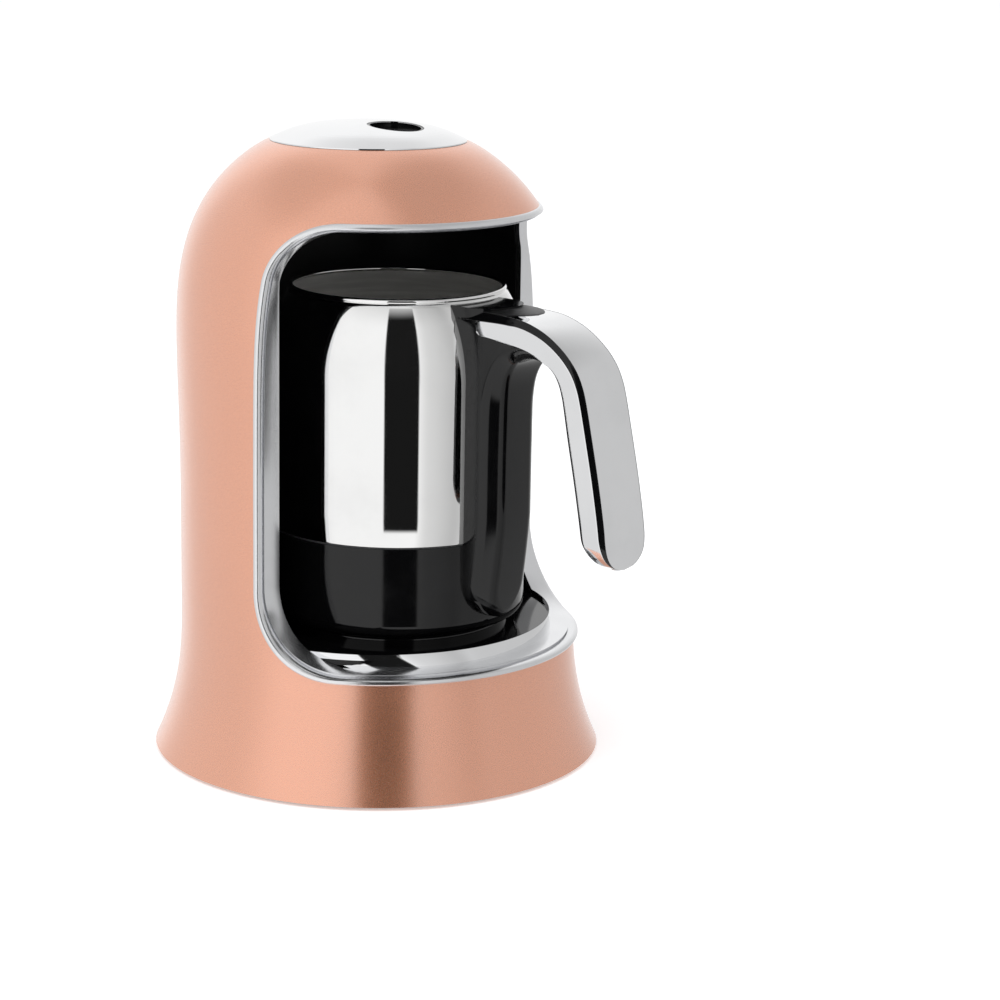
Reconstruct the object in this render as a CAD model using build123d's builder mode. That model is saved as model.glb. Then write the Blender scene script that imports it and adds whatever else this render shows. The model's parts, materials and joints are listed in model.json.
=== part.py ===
"""Electric turkish coffee maker: flared stand with a front bay, cap button and lift-out pot.

Frame: origin on the counter at the body's axis, +Z up, the bay and the handle face -Y.
All sizes are in millimetres.
"""
import os
from math import cos, radians, sin, sqrt

from build123d import *

# ---------------------------------------------------------------- driving dimensions: body
base_radius = 80.0  # outer radius at the foot of the shell
body_radius = 70.4  # outer radius of the straight part
shell_bottom = 1.2  # the feet hold the shell this far off the counter
flare_height = 50.0  # top of the flared foot
flare_power = 2.4  # how fast the flare closes
dome_start = 120.0  # where the dome leaves the straight part
cap_seat_height = 216.9  # flat seat of the cap on top of the dome
cap_radius = 34.6  # radius of that seat
top_setback = 6.3  # the dome's top sits this far behind the body's axis
setback_start = 100.0  # height where the dome starts to lean back
shell_wall = 2.4
roof_wall = 3.0

# ---------------------------------------------------------------- driving dimensions: bay
opening_back = 9.3  # the opening's upright edges lie this far in front of the axis
opening_bottom = 41.5
opening_top = 195.5
lower_corner = 30.0  # side-view radius of the opening's lower back corner
upper_corner = 20.0
bead_thickness = 2.6  # outer bead of the chrome frame, measured from the edge of the copper
bead_width = 4.0
frame_thickness = 3.8  # the frame's face behind the bead
frame_proud = 1.8  # how far the lower lip stands out of the copper
upright_proud = 0.5  # how far the uprights and the upper lip stand out of it
bay_radius = 61.8  # inner radius of the bay
bay_inset = 4.6  # least distance from the dome's surface to the bay
bay_slope_height = 24.0  # the bay's ceiling slopes down at the back over this height
bay_slope_depth = 16.0
liner_wall = 2.0
lip_inset = 0.3  # the lip's slope starts this far behind its outer face
lip_shoulder = 47.6  # height of the lip's slope above the bead's inner edge
tray_top = 49.6  # height of the lip's inner edge
floor_drop = 1.6  # the black floor lies below the lip's inner edge
floor_wall = 2.5

# ---------------------------------------------------------------- driving dimensions: pot
jug_forward = 8.4  # the pot's axis in front of the body's axis
jug_radius = 46.0
jug_bottom = 51.5  # underside of the pot
cup_height = 32.3  # black base cup
rim_radius = 37.7
rim_height = 167.6
rim_bead = 0.9
shoulder_height = 140.0
vessel_wall = 0.9
vessel_floor = 74.0
vessel_neck = 43.0  # radius of the part of the vessel that drops into the cup
seal_thickness = 0.6
cup_wall = 2.4
cup_rounding = 5.0
recess_radius = 34.0  # hollow under the pot that rides over the connector
recess_depth = 6.5
seat_gap = 0.3  # between the pot and the pad it stands on

# ---------------------------------------------------------------- driving dimensions: handle
spine_half_width = 12.2
spine_reach = 53.6  # front of the spine from the pot's axis
handle_half_width = 13.1
handle_top = 166.4
handle_reach = 107.2  # outer face at the foot, from the pot's axis
grip_thickness = 11.4
grip_foot = 84.6
grip_lean = 14.7  # how far the grip runs out between its top and its foot
arch_height = 150.6
chrome_thickness = 1.8
handle_edge = 3.2

# ---------------------------------------------------------------- driving dimensions: cap
cap_rise = 6.5
cap_wall = 1.6
roof_hole_radius = 28.0
button_radius = 8.6
button_gap = 0.3  # radial gap between the button and its well
button_forward = 13.0  # the button's axis in front of the cap's centre
button_travel = 1.2
button_sink = 2.4  # the button's top below the cap's crown
stop_gap = 0.3
spring_wire = 0.6
board_thickness = 1.6

# ---------------------------------------------------------------- driving dimensions: base
base_plate_wall = 2.5
foot_radius = 7.0
foot_circle = 62.0
post_offset = 38.0
screw_radius = 1.5
gland_height = 13.0
gland_bore = 3.6
gland_neck = 6.0
gland_flange = 8.0
stud_radius = 1.2
connector_radius = 13.0
connector_rise = 3.0  # boss above the pad
fit_gap = 0.1  # between pieces that are assembled into each other

parts_folder = "parts"
os.makedirs(parts_folder, exist_ok=True)


# ---------------------------------------------------------------- outline of the body
def outline_radius(height):
    """Outer radius of the body at a height."""
    if height < flare_height:
        left = (flare_height - height) / (flare_height - shell_bottom)
        return body_radius + (base_radius - body_radius) * left**flare_power
    if height < dome_start:
        return body_radius
    climbed = min((height - dome_start) / (cap_seat_height - dome_start), 1.0)
    return cap_radius + (body_radius - cap_radius) * (1 - climbed**4) ** 0.85


def setback(height):
    """Distance of the body's centre behind the axis at a height."""
    climbed = max(height - setback_start, 0.0) / (cap_seat_height - setback_start)
    return top_setback * climbed**1.4


def slant(height):
    """Horizontal length that one millimetre of wall takes up at a height."""
    step = 0.5
    slope = (outline_radius(height + step) - outline_radius(height - step)) / (2 * step)
    return min(sqrt(1 + slope**2), 2.0)


def outline_heights(low, high):
    """Heights of the sections that shape the body between two heights."""
    flare = [shell_bottom + (flare_height - shell_bottom) * part / 8 for part in range(1, 9)]
    straight = [flare_height + (dome_start - flare_height) * part / 6 for part in range(1, 7)]
    dome = [
        dome_start + (cap_seat_height - dome_start) * part
        for part in (0.12, 0.25, 0.36, 0.46, 0.55, 0.64, 0.72, 0.79, 0.85, 0.9, 0.945, 0.98)
    ]
    inside = [height for height in flare + straight + dome if low + 1.5 < height < high - 1.5]
    return [low] + inside + [high]


def body_solid(low, high, wall=0.0, upper_wall=None):
    """Solid inside the body's outline, moved inwards by a wall, between two heights.

    The wall changes to the upper wall over the height of the opening's lower corner.
    """
    change = 0.0 if upper_wall is None else upper_wall - wall
    with BuildPart() as solid:
        for height in outline_heights(low, high):
            share = min(max((height - opening_bottom) / lower_corner, 0.0), 1.0)
            with BuildSketch(Plane.XY.offset(height)):
                with Locations((0, setback(height))):
                    Circle(outline_radius(height) - (wall + change * share) * slant(height))
        loft()
    return solid.part


def opening_solid(inset):
    """Block swept by the opening's side outline, moved inwards by an inset."""
    front = -1.5 * base_radius
    back = -opening_back - inset
    with BuildPart() as block:
        with BuildSketch(Plane.YZ):
            with BuildLine():
                FilletPolyline(
                    (front, opening_bottom + inset),
                    (back, opening_bottom + inset),
                    (back, opening_top - inset),
                    (front, opening_top - inset),
                    radius=[lower_corner - inset, upper_corner - inset],
                )
                Line((front, opening_top - inset), (front, opening_bottom + inset))
            make_face()
        extrude(amount=1.5 * base_radius, both=True)
    return block.part


floor_top = tray_top - floor_drop
jug_centre = (0, -jug_forward)


def bay_solid(grow, low, high):
    """Hollow of the bay, or its outside when grown by the liner's wall."""
    lofted = body_solid(low, high, bay_inset - grow)
    reach = bay_radius + grow
    with BuildPart() as hollow:
        add(lofted)
        with BuildSketch(Plane.XY.offset(low - 1)):
            Circle(reach)
        extrude(amount=high - low + 2, mode=Mode.INTERSECT)
        with BuildSketch(Plane.YZ):
            Polygon(
                (-2 * reach, low - 1),
                (reach + 1, low - 1),
                (reach + 1, opening_top - bay_slope_height),
                (reach, opening_top - bay_slope_height),
                (reach - bay_slope_depth, opening_top),
                (reach - 1.2 * bay_slope_depth, opening_top + 0.3 * bay_slope_height),
                (-2 * reach, opening_top + 0.3 * bay_slope_height),
                align=None,
            )
        extrude(amount=2 * reach, both=True, mode=Mode.INTERSECT)
    return hollow.part


def pegs(radius, places, low, high):
    """Upright round pegs between two heights."""
    with BuildPart() as group:
        with BuildSketch(Plane.XY.offset(low)):
            with Locations(*places):
                Circle(radius)
        extrude(amount=high - low)
    return group.part


def ring_points(radius, angles, centre=(0.0, 0.0)):
    """Points on a circle about a centre."""
    return [(centre[0] + radius * cos(radians(a)), centre[1] + radius * sin(radians(a))) for a in angles]


# ---------------------------------------------------------------- outer shell
roof_underside = cap_seat_height - roof_wall
gland_plane = Plane(origin=(0, 0, gland_height), x_dir=(1, 0, 0), z_dir=(0, 1, 0))
shell_outside = body_solid(shell_bottom, cap_seat_height)
shell_inside = body_solid(shell_bottom - 1, roof_underside, shell_wall)
opening = opening_solid(0)

with BuildPart() as outer_shell:
    add(shell_outside)
    add(shell_inside, mode=Mode.SUBTRACT)
    add(opening, mode=Mode.SUBTRACT)
    with BuildSketch(Plane.XY.offset(roof_underside - 1)):
        with Locations((0, top_setback)):
            Circle(roof_hole_radius)
    extrude(amount=roof_wall + 2, mode=Mode.SUBTRACT)
    with BuildSketch(gland_plane):
        Circle(gland_neck + fit_gap)
    extrude(amount=1.5 * base_radius, mode=Mode.SUBTRACT)
outer_shell.part.label = "outer_shell"

# ---------------------------------------------------------------- chrome frame with the tray lip
frame_low = opening_bottom - 4
frame_high = opening_top + 4
bead_strip = opening_solid(0) - opening_solid(bead_thickness)
face_strip = opening_solid(0) - opening_solid(frame_thickness)
bead_reach = body_solid(frame_low, frame_high, -frame_proud, -upright_proud)
face_reach = body_solid(frame_low, frame_high, bead_width - frame_proud, bead_width - frame_proud)
bay_hollow = bay_solid(0, frame_low, frame_high)
lip_radius = body_radius + frame_proud
lip_start = (lip_radius - lip_inset, opening_bottom + bead_thickness)
lip_middle = (lip_radius - bead_width, lip_shoulder)
lip_end = (bay_radius, tray_top)

with BuildPart() as tray:
    with BuildSketch(Plane.XZ):
        with BuildLine():
            ThreePointArc(lip_start, lip_middle, lip_end)
            Polyline(
                lip_end,
                (bay_radius - 1, tray_top),
                (bay_radius - 1, opening_bottom),
                (lip_start[0], opening_bottom),
                lip_start,
            )
        make_face()
    revolve(axis=Axis.Z)
    add(opening, mode=Mode.INTERSECT)

with BuildPart() as chrome_frame:
    add(bead_strip)
    add(bead_reach, mode=Mode.INTERSECT)
    add(face_strip & face_reach)
    add(tray.part)
    add(bay_hollow, mode=Mode.SUBTRACT)
chrome_frame.part.label = "chrome_frame"

# ---------------------------------------------------------------- black liner of the bay
liner_top = opening_top + liner_wall
liner_bottom = floor_top - floor_wall
boil_sensor_radius = 4.0
liner_outside = bay_solid(liner_wall, liner_bottom, liner_top)
liner_inside = bay_solid(0, liner_bottom - 1, opening_top)

with BuildPart() as cavity_liner:
    add(liner_outside)
    add(liner_inside, mode=Mode.SUBTRACT)
    add(opening, mode=Mode.SUBTRACT)
    add(pegs(boil_sensor_radius + fit_gap, [jug_centre], opening_top - 1, liner_top + 1), mode=Mode.SUBTRACT)
cavity_liner.part.label = "cavity_liner"

with BuildPart() as boil_sensor:
    add(pegs(boil_sensor_radius, [jug_centre], opening_top - 2, liner_top + 4))
    fillet(boil_sensor.edges().group_by(Axis.Z)[0], 1.5)
    add(pegs(boil_sensor_radius + 2, [jug_centre], liner_top, liner_top + 1.5))
boil_sensor.part.label = "boil_sensor"

# ---------------------------------------------------------------- bay floor with the pad for the pot
pad_top = jug_bottom - seat_gap
pad_radius = recess_radius + 6.0
post_radius = 4.5
post_bottom = shell_bottom + base_plate_wall
floor_bottom = floor_top - floor_wall
post_points = [(x, y) for x in (-post_offset, post_offset) for y in (-post_offset, post_offset)]
base_screw_length = 11.0

with BuildPart() as jug_platform:
    add(pegs(pad_radius, [jug_centre], floor_bottom, pad_top))
    fillet(jug_platform.edges().group_by(Axis.Z)[-1], 1.5)
    add(pegs(bay_radius - fit_gap, [(0, 0)], floor_bottom, floor_top))
    add(pegs(post_radius, post_points, post_bottom, floor_bottom))
    add(pegs(screw_radius + fit_gap, post_points, post_bottom, post_bottom + 12), mode=Mode.SUBTRACT)
    add(pegs(connector_radius + fit_gap, [jug_centre], floor_bottom, pad_top), mode=Mode.SUBTRACT)
jug_platform.part.label = "jug_platform"

# ---------------------------------------------------------------- base plate, feet and screws
base_plate_radius = outline_radius(post_bottom) - shell_wall * slant(post_bottom) - 0.5
foot_recess = 0.8
foot_points = ring_points(foot_circle, (0, 90, 180, 270))
screw_head_radius = 3.0
screw_head_height = 1.3
screw_head_sink = 1.4
power_board_height = 12.0
power_board_length = 52.0
power_board_width = 44.0
power_board_y = 8.0
power_screw_inset = 4.0
small_screw_radius = 1.2
small_head_radius = 2.2
small_head_height = 1.4
standoff_radius = 2.6
power_screw_x = power_board_length / 2 - power_screw_inset
power_screw_y = power_board_width / 2 - power_screw_inset
power_points = [
    (x, power_board_y + y)
    for x in (-power_screw_x, power_screw_x)
    for y in (-power_screw_y, power_screw_y)
]

with BuildPart() as base_plate:
    add(pegs(base_plate_radius, [(0, 0)], shell_bottom, post_bottom))
    add(pegs(standoff_radius, power_points, post_bottom, power_board_height))
    add(
        pegs(foot_radius + fit_gap, foot_points, shell_bottom, shell_bottom + foot_recess),
        mode=Mode.SUBTRACT,
    )
    add(
        pegs(small_screw_radius + fit_gap, power_points, post_bottom, power_board_height),
        mode=Mode.SUBTRACT,
    )
    add(pegs(screw_radius + fit_gap, post_points, shell_bottom, post_bottom), mode=Mode.SUBTRACT)
    add(
        pegs(screw_head_radius + fit_gap, post_points, shell_bottom, shell_bottom + screw_head_sink),
        mode=Mode.SUBTRACT,
    )
base_plate.part.label = "base_plate"

with BuildPart() as rubber_feet:
    add(pegs(foot_radius, foot_points, 0, shell_bottom + foot_recess))
    fillet(rubber_feet.edges().group_by(Axis.Z)[0], 0.5)
rubber_feet.part.label = "rubber_feet"

with BuildPart() as base_screws:
    head_top = shell_bottom + screw_head_sink
    add(pegs(screw_head_radius, post_points, head_top - screw_head_height, head_top))
    add(pegs(screw_radius, post_points, head_top, head_top + base_screw_length))
base_screws.part.label = "base_screws"

# ---------------------------------------------------------------- cord gland in the back of the shell
gland_back = outline_radius(gland_height) + 2.6
gland_length = 11.0

with BuildPart() as cord_gland:
    with BuildSketch(gland_plane.offset(gland_back - gland_length)):
        Circle(gland_flange)
    extrude(amount=gland_length)
    fillet(cord_gland.edges().group_by(Axis.Y)[-1], 1.0)
    add(outer_shell.part, mode=Mode.SUBTRACT)
    with BuildSketch(gland_plane.offset(gland_back - gland_length - 1)):
        Circle(gland_bore)
    extrude(amount=gland_length + 2, mode=Mode.SUBTRACT)
cord_gland.part.label = "cord_gland"

# ---------------------------------------------------------------- connector in the bay floor
connector_top = pad_top + connector_rise
connector_bottom = floor_bottom - 8.0
connector_flange = 2.5
connector_flange_radius = connector_radius + 8.0
connector_seat = floor_bottom - connector_flange
stud_top = jug_bottom + recess_depth - 2.4
stud_tail = 4.0
stud_points = [(0.0, -jug_forward), (6.0, -jug_forward), (-10.0, -jug_forward)]
connector_points = ring_points(connector_radius + 4.0, (0, 180), jug_centre)

with BuildPart() as base_connector:
    add(pegs(connector_radius, [jug_centre], connector_bottom, connector_top))
    fillet(base_connector.edges().group_by(Axis.Z)[-1], 1.0)
    add(pegs(connector_flange_radius, [jug_centre], connector_seat, floor_bottom))
    add(pegs(stud_radius + 0.05, stud_points, connector_bottom, connector_top), mode=Mode.SUBTRACT)
    add(
        pegs(small_screw_radius + fit_gap, connector_points, connector_seat, floor_bottom),
        mode=Mode.SUBTRACT,
    )
base_connector.part.label = "base_connector"

with BuildPart() as connector_studs:
    add(pegs(stud_radius, stud_points, connector_bottom - stud_tail, stud_top))
    fillet(connector_studs.edges().group_by(Axis.Z)[-1], 0.8)
connector_studs.part.label = "connector_studs"

with BuildPart() as connector_screws:
    add(pegs(small_head_radius, connector_points, connector_seat - small_head_height, connector_seat))
    add(pegs(small_screw_radius, connector_points, connector_seat, floor_bottom))
connector_screws.part.label = "connector_screws"

# ---------------------------------------------------------------- power board and what it carries
board_top = power_board_height + board_thickness
relay_size = (19.0, 15.5, 15.0)
relay_centre = (-9.0, power_board_y + 2.0)
capacitor_size = (18.0, 8.0, 12.0)
capacitor_centre = (10.0, power_board_y - 8.0)
box_rounding = 0.8
terminal_height = 10.0
terminal_depth = 9.0
terminal_bore = 1.6
terminal_bore_depth = 4.0
terminal_y = power_board_y + 15.0
terminal_x = 10.0
terminal_pitch = 5.0

with BuildPart() as power_board:
    with BuildSketch(Plane.XY.offset(power_board_height)):
        with Locations((0, power_board_y)):
            RectangleRounded(power_board_length, power_board_width, 2)
        with Locations(*power_points):
            Circle(small_screw_radius + fit_gap, mode=Mode.SUBTRACT)
    extrude(amount=board_thickness)
power_board.part.label = "power_board"

with BuildPart() as power_board_screws:
    add(pegs(small_head_radius, power_points, board_top, board_top + small_head_height))
    add(pegs(small_screw_radius, power_points, board_top - 7, board_top))
power_board_screws.part.label = "power_board_screws"

with BuildPart() as relay:
    with BuildSketch(Plane.XY.offset(board_top)):
        with Locations(relay_centre):
            Rectangle(relay_size[0], relay_size[1])
    extrude(amount=relay_size[2])
    fillet(relay.edges().filter_by(Axis.Z), box_rounding)
relay.part.label = "relay"

with BuildPart() as filter_capacitor:
    with BuildSketch(Plane.XY.offset(board_top)):
        with Locations(capacitor_centre):
            Rectangle(capacitor_size[0], capacitor_size[1])
    extrude(amount=capacitor_size[2])
    fillet(filter_capacitor.edges().filter_by(Axis.Z), box_rounding)
filter_capacitor.part.label = "filter_capacitor"

terminal_points = [(terminal_x + step * terminal_pitch, terminal_y) for step in (-1, 0, 1)]
with BuildPart() as terminal_block:
    with BuildSketch(Plane.XY.offset(board_top)):
        with Locations((terminal_x, terminal_y)):
            Rectangle(3.2 * terminal_pitch, terminal_depth)
    extrude(amount=terminal_height)
    bore_bottom = board_top + terminal_height - terminal_bore_depth
    add(
        pegs(terminal_bore, terminal_points, bore_bottom, board_top + terminal_height),
        mode=Mode.SUBTRACT,
    )
terminal_block.part.label = "terminal_block"

# ---------------------------------------------------------------- cap
button_centre = (0, top_setback - button_forward)
cap_centre = (0, top_setback)
cap_edge = cap_seat_height + 0.1
cap_crown = cap_seat_height + cap_rise
cap_edge_wall = 0.5
bezel_wall = 1.0
well_radius = button_radius + button_gap
tube_inside = well_radius + bezel_wall + 0.05
tube_radius = tube_inside + cap_wall
skirt_radius = roof_hole_radius - 0.4
skirt_bottom = roof_underside - 1.4
cap_boss_radius = 3.0
cap_screw_circle = 21.0
cap_points = ring_points(cap_screw_circle, (90, 210, 330), cap_centre)
cap_screw_radius = 1.25
cap_screw_grip = 5.2
cap_head_radius = 2.4
cap_head_height = 1.6
cap_axis = Axis((0, top_setback, 0), (0, 0, 1))
cap_plane = Plane(origin=(0, top_setback, 0), x_dir=(1, 0, 0), z_dir=(0, -1, 0))


def cap_solid(inset, bottom):
    """Crowned solid under the cap's outer surface, moved inwards by an inset."""
    edge = cap_radius - 0.2 - inset
    crown = cap_crown - inset
    fall = cap_rise - cap_edge_wall
    shoulder = (edge, crown - fall)
    with BuildPart() as crowned:
        with BuildSketch(cap_plane):
            with BuildLine():
                Spline(
                    (0, crown),
                    (0.5 * edge, crown - 0.125 * fall),
                    (0.8 * edge, crown - 0.51 * fall),
                    shoulder,
                    tangents=((1, 0), (edge, -2.6 * fall)),
                )
                Polyline(shoulder, (edge, bottom), (0, bottom), (0, crown))
            make_face()
        revolve(axis=cap_axis)
    return crowned.part


cap_skin = cap_solid(0, cap_edge) - cap_solid(cap_wall, skirt_bottom)
cap_column = cap_solid(0, skirt_bottom)

with BuildPart() as top_cap:
    with BuildSketch(Plane.XY.offset(skirt_bottom)):
        with Locations(cap_centre):
            Circle(skirt_radius)
            Circle(skirt_radius - cap_wall, mode=Mode.SUBTRACT)
        with Locations(button_centre):
            Circle(tube_radius)
        with Locations(*cap_points):
            Circle(cap_boss_radius)
    extrude(amount=cap_crown - skirt_bottom)
    add(cap_column, mode=Mode.INTERSECT)
    add(cap_skin)
    add(pegs(tube_inside, [button_centre], skirt_bottom, cap_crown), mode=Mode.SUBTRACT)
    add(
        pegs(cap_screw_radius + 0.05, cap_points, skirt_bottom, skirt_bottom + cap_screw_grip + 0.4),
        mode=Mode.SUBTRACT,
    )
top_cap.part.label = "top_cap"

bezel_sink = 0.25  # the bezel's rim lies this far under the cap's crown
bezel_crown = cap_solid(bezel_sink, skirt_bottom)
with BuildPart() as button_bezel:
    with BuildSketch(Plane.XY.offset(skirt_bottom)):
        with Locations(button_centre):
            Circle(well_radius + bezel_wall)
            Circle(well_radius, mode=Mode.SUBTRACT)
    extrude(amount=cap_crown - skirt_bottom)
    add(bezel_crown, mode=Mode.INTERSECT)
button_bezel.part.label = "button_bezel"

# ---------------------------------------------------------------- carrier and control board
carrier_wall = 1.5
carrier_radius = 32.0
carrier_lip = 3.0
carrier_bottom = skirt_bottom - carrier_wall
stem_radius = 2.2
stem_gap = 0.3
control_board_radius = 27.0
control_board_bottom = 203.2
control_board_top = control_board_bottom + board_thickness
carrier_circle = 23.0
carrier_points = ring_points(carrier_circle, (30, 150, 270), cap_centre)
carrier_post_radius = 2.8
board_screw_grip = 4.6
post_bore_top = control_board_top + board_screw_grip + 0.4

with BuildPart() as board_carrier:
    add(pegs(carrier_radius, [cap_centre], carrier_bottom, roof_underside))
    add(pegs(carrier_radius - carrier_lip, [cap_centre], skirt_bottom, roof_underside), mode=Mode.SUBTRACT)
    add(pegs(carrier_post_radius, carrier_points, control_board_top, carrier_bottom))
    add(
        pegs(small_screw_radius + fit_gap, carrier_points, control_board_top, post_bore_top),
        mode=Mode.SUBTRACT,
    )
    add(pegs(stem_radius + stem_gap, [button_centre], carrier_bottom, skirt_bottom), mode=Mode.SUBTRACT)
    add(pegs(cap_screw_radius + fit_gap, cap_points, carrier_bottom, skirt_bottom), mode=Mode.SUBTRACT)
board_carrier.part.label = "board_carrier"

with BuildPart() as cap_screws:
    add(pegs(cap_head_radius, cap_points, carrier_bottom - cap_head_height, carrier_bottom))
    add(pegs(cap_screw_radius, cap_points, carrier_bottom, skirt_bottom + cap_screw_grip))
cap_screws.part.label = "cap_screws"

with BuildPart() as control_board:
    add(pegs(control_board_radius, [cap_centre], control_board_bottom, control_board_top))
    add(
        pegs(small_screw_radius + fit_gap, carrier_points, control_board_bottom, control_board_top),
        mode=Mode.SUBTRACT,
    )
control_board.part.label = "control_board"

with BuildPart() as board_screws:
    head_bottom = control_board_bottom - small_head_height
    add(pegs(small_head_radius, carrier_points, head_bottom, control_board_bottom))
    add(pegs(small_screw_radius, carrier_points, control_board_bottom, control_board_top + board_screw_grip))
board_screws.part.label = "board_screws"

# ---------------------------------------------------------------- button with its spring and switch
button_top = cap_crown - button_sink
button_bottom = skirt_bottom + 4.3
button_rounding = 0.8
button_roof = 1.8
spring_pocket_radius = 5.5
spring_pocket_top = button_top - button_roof
spring_radius = 4.2
switch_width = 6.2
switch_top = control_board_top + 2.8
plunger_radius = 1.7
plunger_top = switch_top + 0.7
stem_bottom = plunger_top + button_travel + stop_gap
hook_radius = stem_radius + stem_gap + 0.5

with BuildPart() as start_button:
    add(pegs(button_radius, [button_centre], button_bottom, button_top))
    fillet(start_button.edges().group_by(Axis.Z)[-1], button_rounding)
    add(pegs(spring_pocket_radius, [button_centre], button_bottom, spring_pocket_top), mode=Mode.SUBTRACT)
    add(pegs(stem_radius, [button_centre], stem_bottom, button_top - 1))
    add(pegs(hook_radius, [button_centre], stem_bottom, carrier_bottom - stop_gap))
start_button.part.label = "start_button"

spring_turns = 3.5
spring_length = spring_pocket_top - skirt_bottom - spring_wire - fit_gap
with BuildPart() as button_spring:
    with BuildLine() as spring_line:
        Helix(
            pitch=spring_length / spring_turns,
            height=spring_length,
            radius=spring_radius,
            center=(button_centre[0], button_centre[1], skirt_bottom + spring_wire / 2),
        )
    with BuildSketch(Plane(origin=spring_line.line @ 0, z_dir=spring_line.line % 0)):
        Circle(spring_wire / 2)
    sweep(path=spring_line.line, is_frenet=True)
button_spring.part.label = "button_spring"

with BuildPart() as tact_switch:
    with BuildSketch(Plane.XY.offset(control_board_top)):
        with Locations(button_centre):
            RectangleRounded(switch_width, switch_width, 0.5)
    extrude(amount=switch_top - control_board_top)
    add(pegs(plunger_radius, [button_centre], switch_top, plunger_top))
tact_switch.part.label = "tact_switch"

led_point = [(8.0, button_centre[1])]
led_radius = 1.5
led_height = 4.5
led_rounding = 1.2
led_rim_radius = 1.9
led_rim_height = 1.0
buzzer_point = [(10.0, top_setback + 8.0)]
buzzer_radius = 5.0
buzzer_height = 5.0
buzzer_rounding = 0.6

with BuildPart() as indicator_led:
    add(pegs(led_radius, led_point, control_board_top, control_board_top + led_height))
    fillet(indicator_led.edges().group_by(Axis.Z)[-1], led_rounding)
    add(pegs(led_rim_radius, led_point, control_board_top, control_board_top + led_rim_height))
indicator_led.part.label = "indicator_led"

with BuildPart() as buzzer:
    add(pegs(buzzer_radius, buzzer_point, control_board_top, control_board_top + buzzer_height))
    fillet(buzzer.edges().group_by(Axis.Z)[-1], buzzer_rounding)
buzzer.part.label = "buzzer"

# ---------------------------------------------------------------- lead from the base up to the dome
wire_radius = 1.5
wire_gap = 0.6  # between the lead and the liner
wire_bend = 7.0
wire_rise = 34.0  # the lead turns upwards at this height
wire_run = 26.0  # from the terminals to the bend
wire_end = 22.0  # the lead ends this far behind the cap's centre
wire_reach = bay_radius + liner_wall + wire_radius + wire_gap
wire_low = board_top + 5.0
wire_turn = opening_top - bay_slope_height + 1.8
wire_high = control_board_bottom - wire_radius - 0.05

with BuildPart() as wiring_harness:
    with BuildLine() as wire_line:
        FilletPolyline(
            (terminal_x, terminal_y + 4.6, wire_low),
            (terminal_x, terminal_y + wire_run, wire_low),
            (0, wire_reach, wire_rise),
            (0, wire_reach, wire_turn),
            (0, wire_reach - bay_slope_depth - 2, wire_high - 0.8),
            (0, top_setback + wire_end, wire_high),
            radius=wire_bend,
        )
    with BuildSketch(Plane(origin=wire_line.line @ 0, z_dir=wire_line.line % 0)):
        Circle(wire_radius)
    sweep(path=wire_line.line)
wiring_harness.part.label = "wiring_harness"

# ---------------------------------------------------------------- pot: vessel
jug_axis = Axis((0, -jug_forward, 0), (0, 0, 1))
jug_plane = Plane(origin=(0, -jug_forward, 0), x_dir=(1, 0, 0), z_dir=(0, -1, 0))
cup_top = jug_bottom + cup_height
vessel_step = cup_top + seal_thickness
neck_bottom = vessel_floor + 1.2
shoulder_rise = rim_height - shoulder_height
shoulder_fall = jug_radius - rim_radius
shoulder_radius = (shoulder_rise**2 + shoulder_fall**2) / (2 * shoulder_fall)


def vessel_outline(inset):
    """Half outline of the vessel's side from its foot to its rim, moved inwards by an inset."""
    bend = shoulder_radius - inset
    middle = jug_radius - shoulder_radius
    half = shoulder_rise / 2
    with BuildLine() as outline:
        Polyline(
            (0, vessel_floor + inset),
            (vessel_neck - 1.2 - inset, vessel_floor + inset),
            (vessel_neck - inset, neck_bottom + inset),
            (vessel_neck - inset, vessel_step + inset),
            (jug_radius - inset, vessel_step + inset),
            (jug_radius - inset, shoulder_height),
        )
        ThreePointArc(
            (jug_radius - inset, shoulder_height),
            (middle + sqrt(bend**2 - half**2), shoulder_height + half),
            (middle + sqrt(bend**2 - shoulder_rise**2), rim_height),
        )
        Polyline(
            (middle + sqrt(bend**2 - shoulder_rise**2), rim_height),
            (0, rim_height),
            (0, vessel_floor + inset),
        )
    return outline.line


def vessel_solid(inset):
    """Solid inside the vessel's side."""
    outline = vessel_outline(inset)
    with BuildPart() as turned:
        with BuildSketch(jug_plane):
            make_face(outline.edges())
        revolve(axis=jug_axis)
    return turned.part


vessel_outside = vessel_solid(0)
vessel_inside = vessel_solid(vessel_wall)

with BuildPart() as jug_vessel:
    add(vessel_outside)
    add(vessel_inside, mode=Mode.SUBTRACT)
    with BuildSketch(jug_plane):
        with Locations((rim_radius - 0.5 * vessel_wall, rim_height - rim_bead)):
            Circle(rim_bead)
    revolve(axis=jug_axis)
jug_vessel.part.label = "jug_vessel"

seal_inside = vessel_neck + 0.2
with BuildPart() as jug_seal:
    add(pegs(jug_radius - 0.3, [jug_centre], cup_top, vessel_step))
    add(pegs(seal_inside, [jug_centre], cup_top, vessel_step), mode=Mode.SUBTRACT)
jug_seal.part.label = "jug_seal"

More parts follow.
